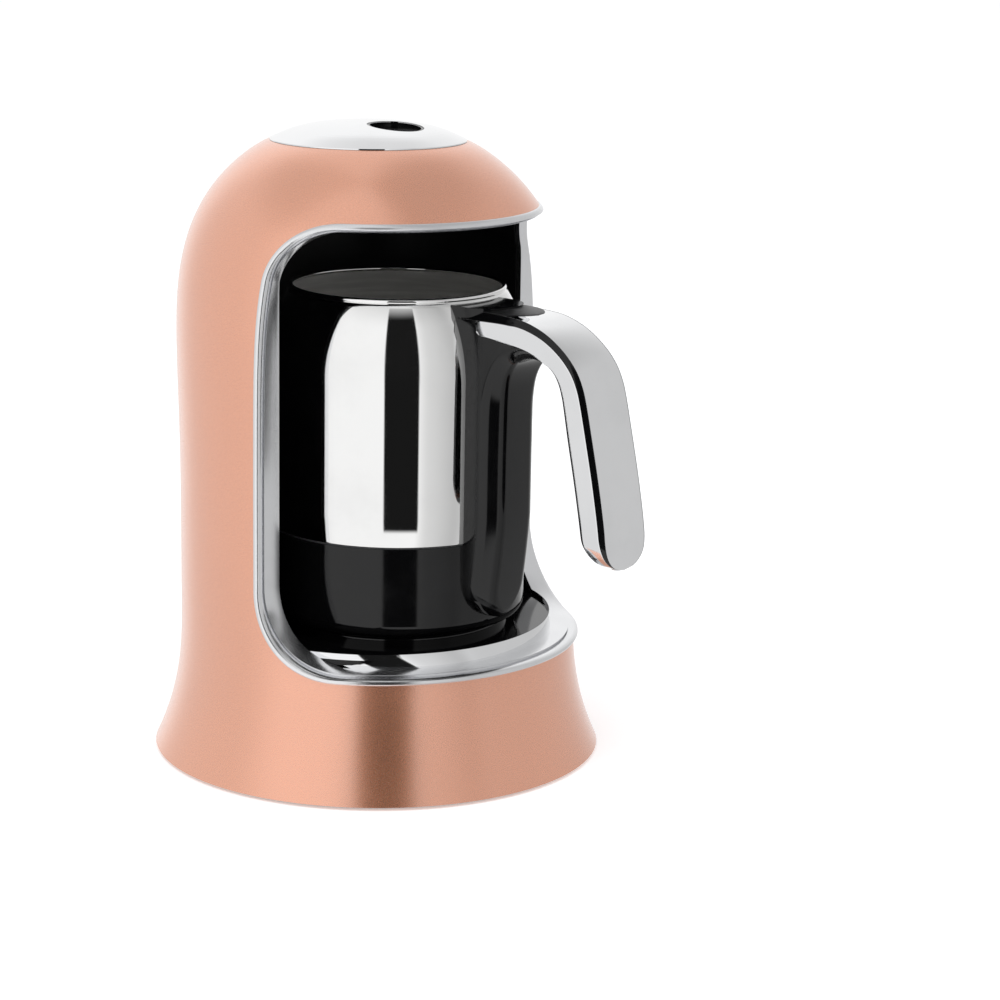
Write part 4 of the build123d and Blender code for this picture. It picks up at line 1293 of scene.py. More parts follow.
    def lip(self) -> bpy.types.Object:
        """Build the bowed lip between the bead and the bay's floor.

        Returns:
            The piece.
        """
        lip_radius = self.outline.body_radius + self.lip_stand
        foot = self.bottom + self.bead
        slope = [Vector((lip_radius - behind, foot + rise)) for behind, rise in self.slope]
        crest = Vector((lip_radius - self.crest[0], foot + self.crest[1]))
        floor = Vector((self.bay_radius, foot + self.lip_rise))
        inside = self.bay_radius - self.seam
        profile = [(slope[0].x, slope[0].y - 1.0), *_arc(*slope, 14), *_arc(slope[2], crest, floor, 8)[1:]]
        profile += [(inside, foot + self.lip_rise - 0.25), (inside, self.lip_foot)]
        rows = []
        for radius, height in profile:
            inset = self.bead + (self.groove + self.shoulder) * min(1.0, (lip_radius - radius) / 2.0)
            low = self.lower_corner - inset + 0.15
            rise = self.bottom + self.lower_corner - height
            limit = -self.back - self.lower_corner + math.sqrt(max(low**2 - rise**2, 0.0))
            reach = math.asin(max(limit / radius, -1.0)) + math.pi / 2
            shares = [step / self.lip_steps - 1 for step in range(2 * self.lip_steps + 1)]
            turns = [-math.pi / 2 + reach * share for share in shares]
            rows.append([(radius * math.cos(turn), radius * math.sin(turn), height) for turn in turns])
        return MeshKit.rows("frame_lip", rows)

    def build(self, paints: Paintbox) -> None:
        """Args:
            paints: The finishes.
        """
        strips, lip = self.strips(), self.lip()
        paints.coat(strips, SATIN_CHROME)
        paints.dress(lip, Slot.CHROME)
        for piece in (strips, lip):
            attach(piece, "stand")
            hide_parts("chrome_frame")
            LOG.info("%s: %d faces", piece.name, len(piece.data.polygons))


def _turns(steps: int) -> list[float]:
    """Angles from 0 to a quarter turn, evenly spread."""
    return [math.pi / 2 * step / steps for step in range(steps + 1)]


def _mix(low: Point, high: Point, share: float) -> Point:
    """Point between two points."""
    return tuple(a + (b - a) * share for a, b in zip(low, high))


def _arc(start: Vector, middle: Vector, end: Vector, steps: int) -> list[Pair]:
    """Points on the arc through three points.

    Args:
        start: First point.
        middle: A point on the arc.
        end: Last point.
        steps: Number of pieces.

    Returns:
        The points, with both ends.
    """
    chord_a, chord_b = middle - start, end - start
    cross = 2 * (chord_a.x * chord_b.y - chord_a.y * chord_b.x)
    square_a, square_b = chord_a.length_squared, chord_b.length_squared
    hub = start + Vector((
        (chord_b.y * square_a - chord_a.y * square_b) / cross,
        (chord_a.x * square_b - chord_b.x * square_a) / cross,
    ))
    first, last = start - hub, end - hub
    return [tuple(hub + first.slerp(last, step / steps)) for step in range(steps + 1)]


# ------------------------------------------------------------------ small hardware
@dataclass
class CrossScrew:
    """Pan-head screw with a cross recess; it stands upright, head down.

    Attributes:
        head_radius: Radius of the head.
        head_height: Height of the head.
        shaft_radius: Radius of the thread.
        shaft_length: Length of the thread.
        recess: Half length of each arm of the cross, in shares of the head's radius.
        slot: Half width of each arm, in the same shares.
        blur: Width over which an arm's edge falls.
        depth: Depth of the cross in shares of the head's height.
        face: Radii of the rings across the recess, in shares of the head's.
        edge: Radius and fall of the rings round the head's edge, in shares.
        pitch: Distance between two turns of the thread.
        root: Radius between them in shares of the thread's.
        steps: Points round each ring.
    """

    head_radius: float
    head_height: float
    shaft_radius: float
    shaft_length: float
    recess: float = 0.62
    slot: float = 0.16
    blur: float = 0.06
    depth: float = 0.7
    face: tuple[float, ...] = (0.001, 0.1, 0.14, 0.18, 0.22, 0.3, 0.4, 0.5, 0.58, 0.6, 0.64, 0.7)
    edge: tuple[Pair, ...] = ((0.8, 0.03), (0.9, 0.14), (0.96, 0.3), (1.0, 0.55), (1.0, 1.0))
    pitch: float = 0.9
    root: float = 0.82
    steps: int = 64

    def _sink(self, across: float, along: float) -> float:
        """Depth of the recess at a point of the head.

        Args:
            across: The point's X in shares of the head's radius.
            along: Its Y in the same shares.

        Returns:
            The depth.
        """
        arm_x = min(max((self.slot - abs(along)) / self.blur + 0.5, 0.0), 1.0) * (abs(across) < self.recess)
        arm_y = min(max((self.slot - abs(across)) / self.blur + 0.5, 0.0), 1.0) * (abs(along) < self.recess)
        return self.depth * self.head_height * max(arm_x, arm_y)

    def _ring(self, place: Pair, radius: float, height: float, sunk: bool = False) -> list[Point]:
        """Ring of points round the axis.

        Args:
            place: X and Y of the axis.
            radius: Radius of the ring.
            height: Height of the ring.
            sunk: Whether it is pressed into the recess.

        Returns:
            The ring's points.
        """
        row = []
        for step in range(self.steps):
            turn = math.tau * step / self.steps
            across, along = radius * math.cos(turn), radius * math.sin(turn)
            drop = self._sink(across / self.head_radius, along / self.head_radius) if sunk else 0.0
            row.append((place[0] + across, place[1] + along, height + drop))
        return row

    def build(self, name: str, place: Pair, seat: float) -> bpy.types.Object:
        """Build one screw.

        Args:
            name: Name of the piece.
            place: X and Y of its axis.
            seat: Height where the head meets the thread.

        Returns:
            The piece.
        """
        top, wide, high = seat - self.head_height, self.head_radius, self.head_height
        rows = [self._ring(place, share * wide, top, sunk=True) for share in self.face]
        rows += [self._ring(place, share * wide, top + fall * high) for share, fall in self.edge]
        rows.append(self._ring(place, self.shaft_radius, seat))
        pitches = max(int(self.shaft_length / self.pitch), 2)
        for turn in range(pitches):
            low = seat + self.shaft_length * (turn + 0.15) / pitches
            rows.append(self._ring(place, self.shaft_radius * self.root, low))
            rows.append(self._ring(place, self.shaft_radius, low + 0.4 * self.shaft_length / pitches))
        rows.append(self._ring(place, 0.2 * self.shaft_radius, seat + self.shaft_length))
        return MeshKit.rows(name, rows, ring=True)


@dataclass
class ScrewSet:
    """Several like screws that stand for one CAD node.

    Attributes:
        node: The node that they stand for.
        body: The body that they ride on.
        screw: Sizes of each screw.
        places: X and Y of each.
        seat: Height where the heads meet the threads.
    """

    node: str
    body: str
    screw: CrossScrew
    places: list[Pair]
    seat: float

    def build(self, paints: Paintbox) -> None:
        """Args:
            paints: The finishes.
        """
        singles = [
            self.screw.build(f"screw_{place}", spot, self.seat) for place, spot in enumerate(self.places)
        ]
        piece = merged(f"{self.node}_turned", singles)
        paints.dress(piece, Slot.ZINC)
        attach(piece, self.body)
        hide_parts(self.node)
        LOG.info("%s: %d screws", piece.name, len(self.places))


def circle_places(radius: float, angles: Sequence[float], centre: Pair = (0.0, 0.0)) -> list[Pair]:
    """Places on a circle.

    Args:
        radius: Radius of the circle.
        angles: Angle of each place in degrees.
        centre: The circle's middle.

    Returns:
        X and Y of each place.
    """
    return [
        (centre[0] + radius * math.cos(math.radians(turn)), centre[1] + radius * math.sin(math.radians(turn)))
        for turn in angles
    ]


@dataclass
class Underside:
    """What shows when the stand is tipped: ribbed feet, screws and a moulded base plate.

    Attributes:
        foot_radius: Radius of each foot.
        foot_circle: Radius of the circle that the feet stand on.
        foot_height: Height of each foot with the part in its seat.
        plate_bottom: Height of the base plate's underside.
        rib_drop: How far the ribs stand down from it.
        rib_root: How far they reach into it.
        ring_radii: Radii of the two rings.
        spoke_reaches: Distances from the axis of the sections of a spoke.
        spoke_turns: Directions of the spokes in degrees.
        screw_reach: Distance of the screws from the axis along X and Y.
    """

    foot_radius: float = 7.0
    foot_circle: float = 62.0
    foot_height: float = 2.0
    plate_bottom: float = 1.2
    rib_drop: float = 0.55
    rib_root: float = 0.2
    ring_radii: Pair = (24.0, 49.5)
    spoke_reaches: tuple[float, ...] = (24.4, 30.0, 38.0, 44.0, 49.1)
    spoke_turns: range = range(15, 360, 30)
    screw_reach: float = 38.0

    def feet(self, paints: Paintbox) -> None:
        """Build the four feet with a grip ring and a dimple in each.

        Args:
            paints: The finishes.
        """
        reach = self.foot_radius
        profile = [
            (0.01, 0.5), (1.2, 0.45), (1.9, 0.05), (2.4, 0.0), (3.2, 0.0), (3.5, 0.25), (4.1, 0.25),
            (4.4, 0.0), (reach - 0.9, 0.0), (reach - 0.35, 0.1), (reach, 0.5), (reach, self.foot_height),
            (0.01, self.foot_height),
        ]
        places = circle_places(self.foot_circle, (0, 90, 180, 270))
        feet = [MeshKit.lathe(f"foot_{turn}", profile, spot, 72) for turn, spot in enumerate(places)]
        piece = merged("rubber_feet_ribbed", feet)
        paints.dress(piece, Slot.RUBBER)
        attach(piece, "stand")
        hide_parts("rubber_feet")

    def _rib(self, root: float, shoulder: float, face: float) -> list[Pair]:
        """Cross-section of a rib.

        Args:
            root: Half width at the plate.
            shoulder: Half width where its edge is broken.
            face: Half width of its lower face.

        Returns:
            Distance from its middle, and height, of each point.
        """
        low, high = self.plate_bottom - self.rib_drop, self.plate_bottom + self.rib_root
        left = [(-root, high), (-shoulder, low + 0.1), (-face, low)]
        return left + [(-off, height) for off, height in reversed(left)]

    def ribs(self, paints: Paintbox) -> None:
        """Build the moulded rings and spokes under the base plate.

        Args:
            paints: The finishes.
        """
        ring, spoke = self._rib(0.8, 0.6, 0.45), self._rib(0.75, 0.55, 0.4)
        rings = []
        for count, radius in enumerate(self.ring_radii):
            profile = [(radius + off, height) for off, height in ring]
            rings.append(MeshKit.lathe(f"ring_{count}", profile, (0.0, 0.0), 128))
        spokes = []
        for count, turn in enumerate(self.spoke_turns):
            angle = math.radians(turn)
            ahead = Vector((math.cos(angle), math.sin(angle)))
            side = Vector((-ahead.y, ahead.x))
            rows = []
            for reach in self.spoke_reaches:
                middle = ahead * reach
                rows.append([
                    (middle.x + side.x * off, middle.y + side.y * off, height) for off, height in spoke
                ])
            spokes.append(MeshKit.rows(f"spoke_{count}", rows))
        piece = merged("base_plate_ribs", rings + spokes)
        paints.dress(piece, Slot.DARK_PLASTIC)
        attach(piece, "stand")

    def build(self, paints: Paintbox) -> None:
        """Build feet, ribs and screws.

        Args:
            paints: The finishes.
        """
        self.feet(paints)
        self.ribs(paints)
        sides = (-self.screw_reach, self.screw_reach)
        corners = [(x, y) for x in sides for y in sides]
        screw = CrossScrew(head_radius=3.0, head_height=1.3, shaft_radius=1.5, shaft_length=11.0)
        ScrewSet("base_screws", "stand", screw, corners, 2.6).build(paints)
        LOG.info("underside: feet, ribs and four screws")


# ------------------------------------------------------------------ cap and button
@dataclass
class CapButton:
    """Press button in the cap: dished top, rounded edge and a clip stem.

    Attributes:
        centre: The button's axis.
        radius: Radius of the button.
        top: Height of its upper edge.
        bottom: Height of its skirt.
        stem_bottom: Height of the stem's end.
    """

    centre: Pair = (0.0, -6.7)
    radius: float = 8.6
    top: float = 221.0
    bottom: float = 216.8
    stem_bottom: float = 209.8

    def build(self, paints: Paintbox) -> None:
        """Args:
            paints: The finishes.
        """
        edge, top, low = self.radius, self.top, self.stem_bottom
        profile = [
            (0.01, low), (3.0, low), (3.0, low + 0.9), (2.2, low + 1.3), (2.2, top - 1.8), (5.5, top - 1.8),
            (5.5, self.bottom), (edge - 0.1, self.bottom), (edge, self.bottom + 0.1), (edge, top - 0.8),
            (edge - 0.08, top - 0.45), (edge - 0.3, top - 0.18), (edge - 0.6, top - 0.04), (edge - 0.95, top),
            (edge - 1.2, top - 0.03), (edge - 1.6, top - 0.12), (edge - 3.0, top - 0.28),
            (edge - 5.5, top - 0.4), (1.0, top - 0.44), (0.01, top - 0.45),
        ]
        piece = MeshKit.lathe("button_top", profile, self.centre, 96)
        paints.dress(piece, Slot.BUTTON_DARK)
        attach(piece, "button")
        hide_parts("start_button")
        LOG.info("button: %d faces", len(piece.data.polygons))


# ------------------------------------------------------------------ pot
@dataclass
class PotVessel:
    """Spun steel pot: mirror-bright outside, brushed inside, with a rolled rim.

    Attributes:
        radius: Outer radius of the side.
        rim_radius: Outer radius under the rim.
        rim_height: Height of the rim's middle.
        shoulder: Height where the side starts to close in.
        step: Height where the side steps in over the cup.
        neck: Radius of the part that sits in the cup.
        floor: Height of the vessel's underside.
        wall: Wall thickness.
        bead: Radius of the rolled rim.
        floor_corner: Rounding of the floor's corner.
        floor_sag: Distance of that rounding's middle from both faces.
        fill_height: Height of the pressed fill line.
        fill_width: Half of its width.
        fill_dent: How far it stands in.
        around: Points round each ring.
    """

    radius: float = 46.0
    rim_radius: float = 37.7
    rim_height: float = 167.6
    shoulder: float = 140.0
    step: float = 84.4
    neck: float = 43.0
    floor: float = 74.0
    wall: float = 0.9
    bead: float = 0.9
    floor_corner: float = 4.0
    floor_sag: float = 1.17
    fill_height: float = 148.0
    fill_width: float = 0.7
    fill_dent: float = 0.22
    around: int = 192

    def _bend(self) -> float:
        """Side-view radius of the shoulder."""
        rise, fall = self.rim_height - self.shoulder, self.radius - self.rim_radius
        return (rise**2 + fall**2) / (2 * fall)

    def _side(self, inset: float, steps: int = 40) -> list[Pair]:
        """Side from the step up to just under the rim, moved inwards by an inset.

        Args:
            inset: Distance inside the outer face.
            steps: Points along the shoulder.

        Returns:
            Radius and height of each point.
        """
        rise, bend = self.rim_height - self.shoulder, self._bend()
        middle = self.radius - bend
        heights = [self.step + (self.shoulder - self.step) * share / 6 for share in range(7)]
        side = [(self.radius - inset, height) for height in heights]
        for share in range(1, steps + 1):
            climbed = rise * share / steps
            side.append((middle + math.sqrt((bend - inset) ** 2 - climbed**2), self.shoulder + climbed))
        return side

    def reach_at(self, height: float) -> float:
        """Outer radius at a height; under the shoulder, that of the straight side.

        Args:
            height: Height over the counter.

        Returns:
            The radius.
        """
        bend = self._bend()
        climbed = min(max(0.0, height - self.shoulder), self.rim_height - self.shoulder)
        return self.radius - bend + math.sqrt(bend**2 - climbed**2)

    def outside(self) -> bpy.types.Object:
        """Build the outer face with the rolled rim and the foot that sits in the cup.

        Returns:
            The piece.
        """
        hub = (self.rim_radius - self.wall / 2, self.rim_height)
        roll = [
            (hub[0] + self.bead * math.cos(turn), hub[1] + self.bead * math.sin(turn))
            for turn in (math.radians(angle) for angle in range(-50, 221, 15))
        ]
        side = [point for point in self._side(0.0) if point[1] < self.rim_height - 0.9]
        foot = [
            (0.01, self.floor), (self.neck - 1.2, self.floor), (self.neck - 0.3, self.floor + 0.4),
            (self.neck, self.floor + 1.2), (self.neck, self.step - 0.1), (self.neck + 0.2, self.step),
            (self.radius - 0.5, self.step), (self.radius - 0.12, self.step + 0.12),
            (self.radius, self.step + 0.5),
        ]
        return MeshKit.lathe("pot_outside", foot + side[1:] + roll, POT_AXIS_MM, self.around)

    def inside(self) -> bpy.types.Object:
        """Build the inner face with its rounded floor corner and a pressed fill line.

        Returns:
            The piece.
        """
        inner, base = self.neck - self.wall, self.floor + self.wall
        corner = [
            Vector((inner - self.floor_corner, base)),
            Vector((inner - self.floor_sag, base + self.floor_sag)),
            Vector((inner, base + self.floor_corner)),
        ]
        profile = [(0.01, base), (inner - self.floor_corner, base), *_arc(*corner, 6)[1:]]
        profile += [(inner, self.step + 0.2), (inner + 0.4, self.step + 0.9)]
        profile.append((self.radius - self.wall - 0.3, self.step + 1.0))
        for radius, height in self._side(self.wall)[1:]:
            if height < self.rim_height - 0.5:
                away = (height - self.fill_height) / self.fill_width
                profile.append((radius - self.fill_dent * math.exp(-(away**2)), height))
        return MeshKit.lathe("pot_inside", profile, POT_AXIS_MM, self.around)

    def build(self, paints: Paintbox) -> None:
        """Build and dress both faces, attach them to the pot's body and hide the node that they stand for.

        Args:
            paints: The finishes.
        """
        outside, inside = self.outside(), self.inside()
        paints.coat(outside, MIRROR_STEEL)
        paints.coat(inside, SATIN_STEEL)
        for piece in (outside, inside):
            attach(piece, "jug")
            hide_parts("jug_vessel")
        LOG.info("pot: %d and %d faces", len(outside.data.polygons), len(inside.data.polygons))


# ------------------------------------------------------------------ handle and spine of the pot
def soft_corner(steps: int = 15, tight: float = 3.0, flat: float = 11.0, spread: float = 16.0) -> list[Pair]:
    """Corner that is nearly flat across its middle, in a square of side 1.

    Args:
        steps: Pieces of the corner.
        tight: Bending radius where it begins and ends, in any unit.
        flat: What its middle adds to that.
        spread: Half width of the middle in degrees.

    Returns:
        Points from (1, 0) at the side to (0, 1) at the front.
    """
    across, along, points = 0.0, 0.0, [(0.0, 0.0)]
    piece = 90.0 / steps
    for step in range(steps):
        angle = (step + 0.5) * piece
        length = (tight + flat * math.exp(-(((angle - 45.0) / spread) ** 2))) * math.radians(piece)
        across += length * math.sin(math.radians(angle))
        along += length * math.cos(math.radians(angle))
        points.append((across, along))
    return [(1 - run / across, rise / along) for run, rise in points]


def softened(half: float, corner: float, front: float = 0.0) -> list[Pair]:
    """Rounded edge of a section, from its side to its face.

    Args:
        half: Half width of the section.
        corner: Size of the rounding.
        front: Where the face lies.

    Returns:
        Distance from the middle plane, and depth, of each point.
    """
    return [
        (half - corner + across * corner, front + corner - along * corner) for across, along in soft_corner()
    ]


@dataclass(frozen=True)
class Station:
    """One cross-section of the handle, in millimetres.

    Attributes:
        outer: Y and Z of the section's outer face.
        inner: Y and Z of its inner face.
        half: Half of its width.
        plate: Half of the chrome front's width.
        upper: Depth where the chrome side begins, under the outer face.
        lower: Depth where the chrome side ends.
        corner: Rounding of the edges at the inner face.
    """

    outer: Pair
    inner: Pair
    half: float
    plate: float
    upper: float
    lower: float
    corner: float

    def numbers(self) -> list[float]:
        """The station as one list of numbers."""
        return [*self.outer, *self.inner, self.half, self.plate, self.upper, self.lower, self.corner]

    @classmethod
    def between(cls, before: Station, low: Station, high: Station, after: Station, share: float) -> Station:
        """Smooth station between two others.

        Args:
            before: Station before the lower one.
            low: Station at share 0.
            high: Station at share 1.
            after: Station after the higher one.
            share: Where the new station lies.

        Returns:
            The station in between.
        """
        found = []
        for a, b, c, d in zip(before.numbers(), low.numbers(), high.numbers(), after.numbers()):
            bend = 2 * a - 5 * b + 4 * c - d
            twist = 3 * (b - c) + d - a
            found.append(b + share * 0.5 * ((c - a) + share * (bend + share * twist)))
        return cls((found[0], found[1]), (found[2], found[3]), *found[4:])

    def at(self, across: float, depth: float) -> Point:
        """Point of the section.

        Args:
            across: Distance from the middle plane.
            depth: Distance under the outer face, towards the inner one.

        Returns:
            The point in space.
        """
        share = depth / self.thickness()
        low, high = self.outer, self.inner
        return (across, low[0] + (high[0] - low[0]) * share, low[1] + (high[1] - low[1]) * share)

    def thickness(self) -> float:
        """Distance between the outer and the inner face."""
        return math.dist(self.outer, self.inner)


@dataclass
class PotHandle:
    """Handle with a black core, a chrome front, chrome sides that end in tongues, and a black top insert.

    Attributes:
        foot: Height of the handle's lower end.
        round_height: Height over the foot where its rounded end begins.
        proud: How far the chrome stands over the black.
        skin: Thickness of the chrome.
        skin_depth: How deep the inner face's sides reach.
        tongue_tip: Y of the tongues' rounded ends.
        insert_back: Y of the insert's end at the pot.
        insert_straight: Y where its nose begins.
        insert_tip: Y of its nose.
        insert_half: Half of its width.
        insert_rise: How far its edge stands over the chrome front's line.
        insert_sink: How far it reaches under that line.
        insert_steps: Sections of the insert, less one.
        steps: Sections between two stations.
    """

    foot: float = 84.62
    round_height: float = 11.7
    proud: float = 0.28
    skin: float = 0.9
    skin_depth: float = 8.0
    tongue_tip: float = -55.4
    insert_back: float = -49.0
    insert_straight: float = -61.0
    insert_tip: float = -74.0
    insert_half: float = 10.2
    insert_rise: float = 0.34
    insert_sink: float = 0.6
    insert_steps: int = 28
    steps: int = 6

    def key_stations(self) -> list[Station]:
        """Stations from the pot's rim to the foot; the end's rounding is added later.

        Returns:
            The stations in order.
        """
        root = [
            Station((-47.8, 165.4), (-65.6, 102.0), 12.45, 9.6, 3.4, 8.4, 7.0),
            Station((-52.0, 165.4), (-65.8, 111.0), 12.45, 9.9, 3.0, 8.2, 7.0),
            Station((-56.0, 165.3), (-65.95, 119.5), 12.45, 10.1, 2.7, 7.9, 7.0),
            Station((-61.0, 165.2), (-66.0, 127.5), 12.4, 10.2, 2.5, 7.8, 7.0),
            Station((-66.0, 165.2), (-66.2, 135.0), 12.3, 10.2, 2.4, 8.2, 6.8),
            Station((-71.0, 165.0), (-67.2, 142.0), 12.2, 10.2, 2.3, 8.6, 6.2),
            Station((-75.5, 164.6), (-69.8, 147.4), 12.1, 10.2, 2.1, 8.9, 5.4),
            Station((-80.0, 163.6), (-73.8, 150.7), 12.0, 10.2, 1.9, 8.8, 4.6),
            Station((-85.4, 161.7), (-79.4, 151.9), 11.9, 10.2, 1.7, 8.4, 3.8),
            Station((-90.6, 158.9), (-84.9, 151.0), 11.8, 10.2, 1.5, 8.1, 3.2),
        ]
        grip = [
            Station((-95.6, 155.2), (-89.0, 148.6), 11.7, 10.2, 1.45, 7.4, 2.8),
            Station((-99.7, 150.8), (-91.6, 145.4), 11.65, 10.2, 1.45, 7.6, 2.4),
            Station((-102.4, 146.0), (-93.1, 141.9), 11.65, 10.2, 1.45, 8.0, 2.2),
            Station((-104.2, 140.6), (-94.1, 138.0), 11.65, 10.2, 1.45, 8.2, 2.2),
            Station((-106.9, 129.5), (-96.3, 127.2), 11.65, 10.2, 1.45, 8.5, 2.2),
            Station((-110.0, 116.0), (-99.3, 113.7), 11.65, 10.2, 1.45, 8.6, 2.2),
            Station((-112.4, 104.0), (-101.7, 101.8), 11.65, 10.2, 1.45, 8.6, 2.2),
            Station((-113.5, 97.0), (-102.9, 95.4), 11.65, 10.2, 1.4, 8.5, 2.2),
            Station((-114.1, 91.0), (-103.9, 91.2), 11.65, 10.6, 1.1, 8.1, 2.2),
            Station((-114.15, 87.6), (-105.4, 87.7), 11.65, 10.95, 0.8, 6.8, 2.0),
            Station((-114.0, 85.7), (-107.3, 85.7), 11.65, 11.1, 0.6, 5.2, 1.6),
            Station((-113.6, self.foot), (-109.7, self.foot), 11.65, 11.2, 0.5, 3.0, 0.9),
        ]
        return root + grip

    def stations(self) -> list[tuple[Station, float]]:
        """Every section.

        Returns:
            Each section with the share of its width that the rounded end leaves.
        """
        keys = self.key_stations()
        padded = [keys[0], *keys, keys[-1]]
        found = []
        for place in range(len(keys) - 1):
            for step in range(self.steps):
                found.append(Station.between(*padded[place : place + 4], step / self.steps))
        found.append(keys[-1])
        sized = []
        for station in found:
            middle = (station.outer[1] + station.inner[1]) / 2
            drop = (self.foot + self.round_height - middle) / self.round_height
            inside = drop > 0 and station.outer[0] < -100
            share = math.sqrt(max(0.0, 1 - min(1.0, drop) ** 2)) if inside else 1.0
            sized.append((station, max(share, 0.004)))
        return sized

    def _inner_line(self) -> list[tuple[Vector, Vector]]:
        """Line along the inner face.

        Returns:
            Each section's inner point, and the direction from there into the handle.
        """
        stations = [station for station, _ in self.stations()]
        line = [Vector(station.inner) for station in stations]
        found = []
        for place, station in enumerate(stations):
            run = (line[min(place + 1, len(line) - 1)] - line[max(place - 1, 0)]).normalized()
            inward = Vector((-run.y, run.x))
            if inward.dot(Vector(station.outer) - line[place]) < 0:
                inward = -inward
            found.append((line[place], inward))
        return found

    def _ring(self, station: Station, share: float, end: Vector) -> list[Point]:
        """Outline of the black core at one section.

        Args:
            station: The section.
            share: Share of its width.
            end: Y and Z where its sides end, inside the inner face.

        Returns:
            Points round the section, the right half first.
        """
        half, plate, sunk = station.half, station.plate, self.proud
        right = [(0.0, sunk), (0.5 * plate, sunk), (plate - sunk, sunk), (plate, 0.05), (plate + 0.1, 0.0)]
        right += [((plate + half) / 2 + 0.12, station.upper / 2 - 0.12), (half, station.upper - 0.1)]
        right += [(half, station.upper), (half - sunk, station.upper + sunk)]
        right += [(half - sunk, station.lower - sunk), (half - 0.01, station.lower)]
        ring = [station.at(across * share, depth) for across, depth in right]
        ring += [((half - 0.01) * share, *end), (0.0, *end)]
        return ring + [(-across, along, height) for across, along, height in reversed(ring[1:-1])]

    def core(self) -> bpy.types.Object:
        """Build the black core from the pot's rim to the foot.

        Returns:
            The piece.
        """
        rows = []
        for (station, share), (point, inward) in zip(self.stations(), self._inner_line()):
            rows.append(self._ring(station, share, point + inward * (station.corner + 0.25)))
        return MeshKit.capped("handle_core_skin", rows)

    def inner(self) -> bpy.types.Object:
        """Build the black inner face: down the spine's front, under the arch and down the grip.

        Returns:
            The piece.
        """
        rows = []
        for (station, share), (point, inward) in zip(self.stations(), self._inner_line()):
            deep = min(self.skin_depth, 0.45 * station.thickness())
            corner = min(station.corner, deep * 0.95)
            right = [(station.half, deep), (station.half, corner + 0.02)]
            right += [*softened(station.half, corner), (0.0, 0.0)]
            ring = [(across * share, depth) for across, depth in right]
            ring += [(-across, depth) for across, depth in reversed(ring[:-1])]
            rows.append([(across, *(point + inward * depth)) for across, depth in ring])
        return MeshKit.capped("handle_inner", rows)

    def front(self) -> bpy.types.Object:
        """Build the chrome front, slightly crowned, with its edges folded into the core.

        Returns:
            The piece.
        """
        rows = []
        for station, share in self.stations():
            plate = station.plate - 0.05
            crown = [(-plate + 2 * plate * step / 12) for step in range(13)]
            outside = [(-plate, 0.55), (-plate, 0.14), (-plate + 0.04, 0.04)]
            outside += [(across, -0.32 * (1 - (across / plate) ** 2)) for across in crown[1:-1]]
            outside += [(plate - 0.04, 0.04), (plate, 0.14), (plate, 0.55)]
            inside = [(plate - 0.4, self.skin), (-plate + 0.4, self.skin)]
            rows.append([station.at(across * share, depth) for across, depth in outside + inside])
        return MeshKit.capped("handle_front", rows)

    def side(self, sign: float) -> bpy.types.Object:
        """Build one chrome side with its tongue.

        Args:
            sign: -1 for the left side, 1 for the right one.

        Returns:
            The side's object.
        """
        rows = []
        for station, share in self.stations():
            if station.outer[0] > self.tongue_tip:
                continue
            middle, reach = (station.upper + station.lower) / 2, (station.lower - station.upper) / 2
            back = self.tongue_tip - station.outer[0]
            if back < reach:
                reach *= math.sqrt(max(0.0, 1 - (1 - back / reach) ** 2))
            reach = max(reach, 0.05) - 0.04
            top, low = middle - reach, middle + reach
            half, root = station.half, station.half - self.proud - 0.4
            edge = min(0.4, reach / 3)
            over = [(-0.05, 0.0), (0.19, 0.04 * edge), (0.25, 0.25 * edge), (0.27, edge)]
            outline = [(root, top + 0.1), *[(half + rise, top + run) for rise, run in over]]
            outline.append((half + 0.3, middle))
            outline += [*[(half + rise, low - run) for rise, run in reversed(over)], (root, low - 0.1)]
            rows.append([station.at(sign * across * share, depth) for across, depth in outline])
        return MeshKit.capped("side", rows)

    def insert(self) -> bpy.types.Object:
        """Build the black insert in the top of the root, which ends in a nose towards the grip.

        Returns:
            The piece.
        """
        tops = [station.outer for station, _ in self.stations()]
        shares = [-1 + step / 6 for step in range(13)]
        rows = []
        for step in range(self.insert_steps + 1):
            way = (step / self.insert_steps) ** 0.8
            along = self.insert_back + (self.insert_tip - self.insert_back) * way
            beyond = (self.insert_straight - along) / (self.insert_straight - self.insert_tip)
            half = max(self.insert_half * math.sqrt(max(0.0, 1 - max(0.0, beyond) ** 2)), 0.02)
            after = next(place for place, top in enumerate(tops) if top[0] <= along)
            (y_high, z_high), (y_low, z_low) = tops[after - 1], tops[after]
            level = z_high + (z_low - z_high) * (along - y_high) / (y_low - y_high)
            edge, foot = level + self.insert_rise, level - self.insert_sink
            lift = 0.1 + 0.25 * half / self.insert_half
            crown = [(share * half, along, edge + lift * (1 - share**2)) for share in shares]
            rows.append([(-half, along, foot), *crown, (half, along, foot)])
        return MeshKit.capped("handle_insert", rows)

    def build(self, paints: Paintbox) -> None:
        """Args:
            paints: The finishes.
        """
        sides = merged("handle_sides", [self.side(-1.0), self.side(1.0)])
        for piece, slot, node in (
            (self.core(), Slot.BLACK_GLOSS, "handle_core"),
            (self.inner(), Slot.BLACK_GLOSS, "handle_core"),
            (self.insert(), Slot.BLACK_SATIN, "handle_core"),
            (self.front(), Slot.CHROME, "handle_shell"),
            (sides, Slot.CHROME, "handle_shell"),
        ):
            paints.dress(piece, slot)
            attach(piece, "jug")
            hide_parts(node)
            LOG.info("handle: %s, %d faces", piece.name, len(piece.data.polygons))


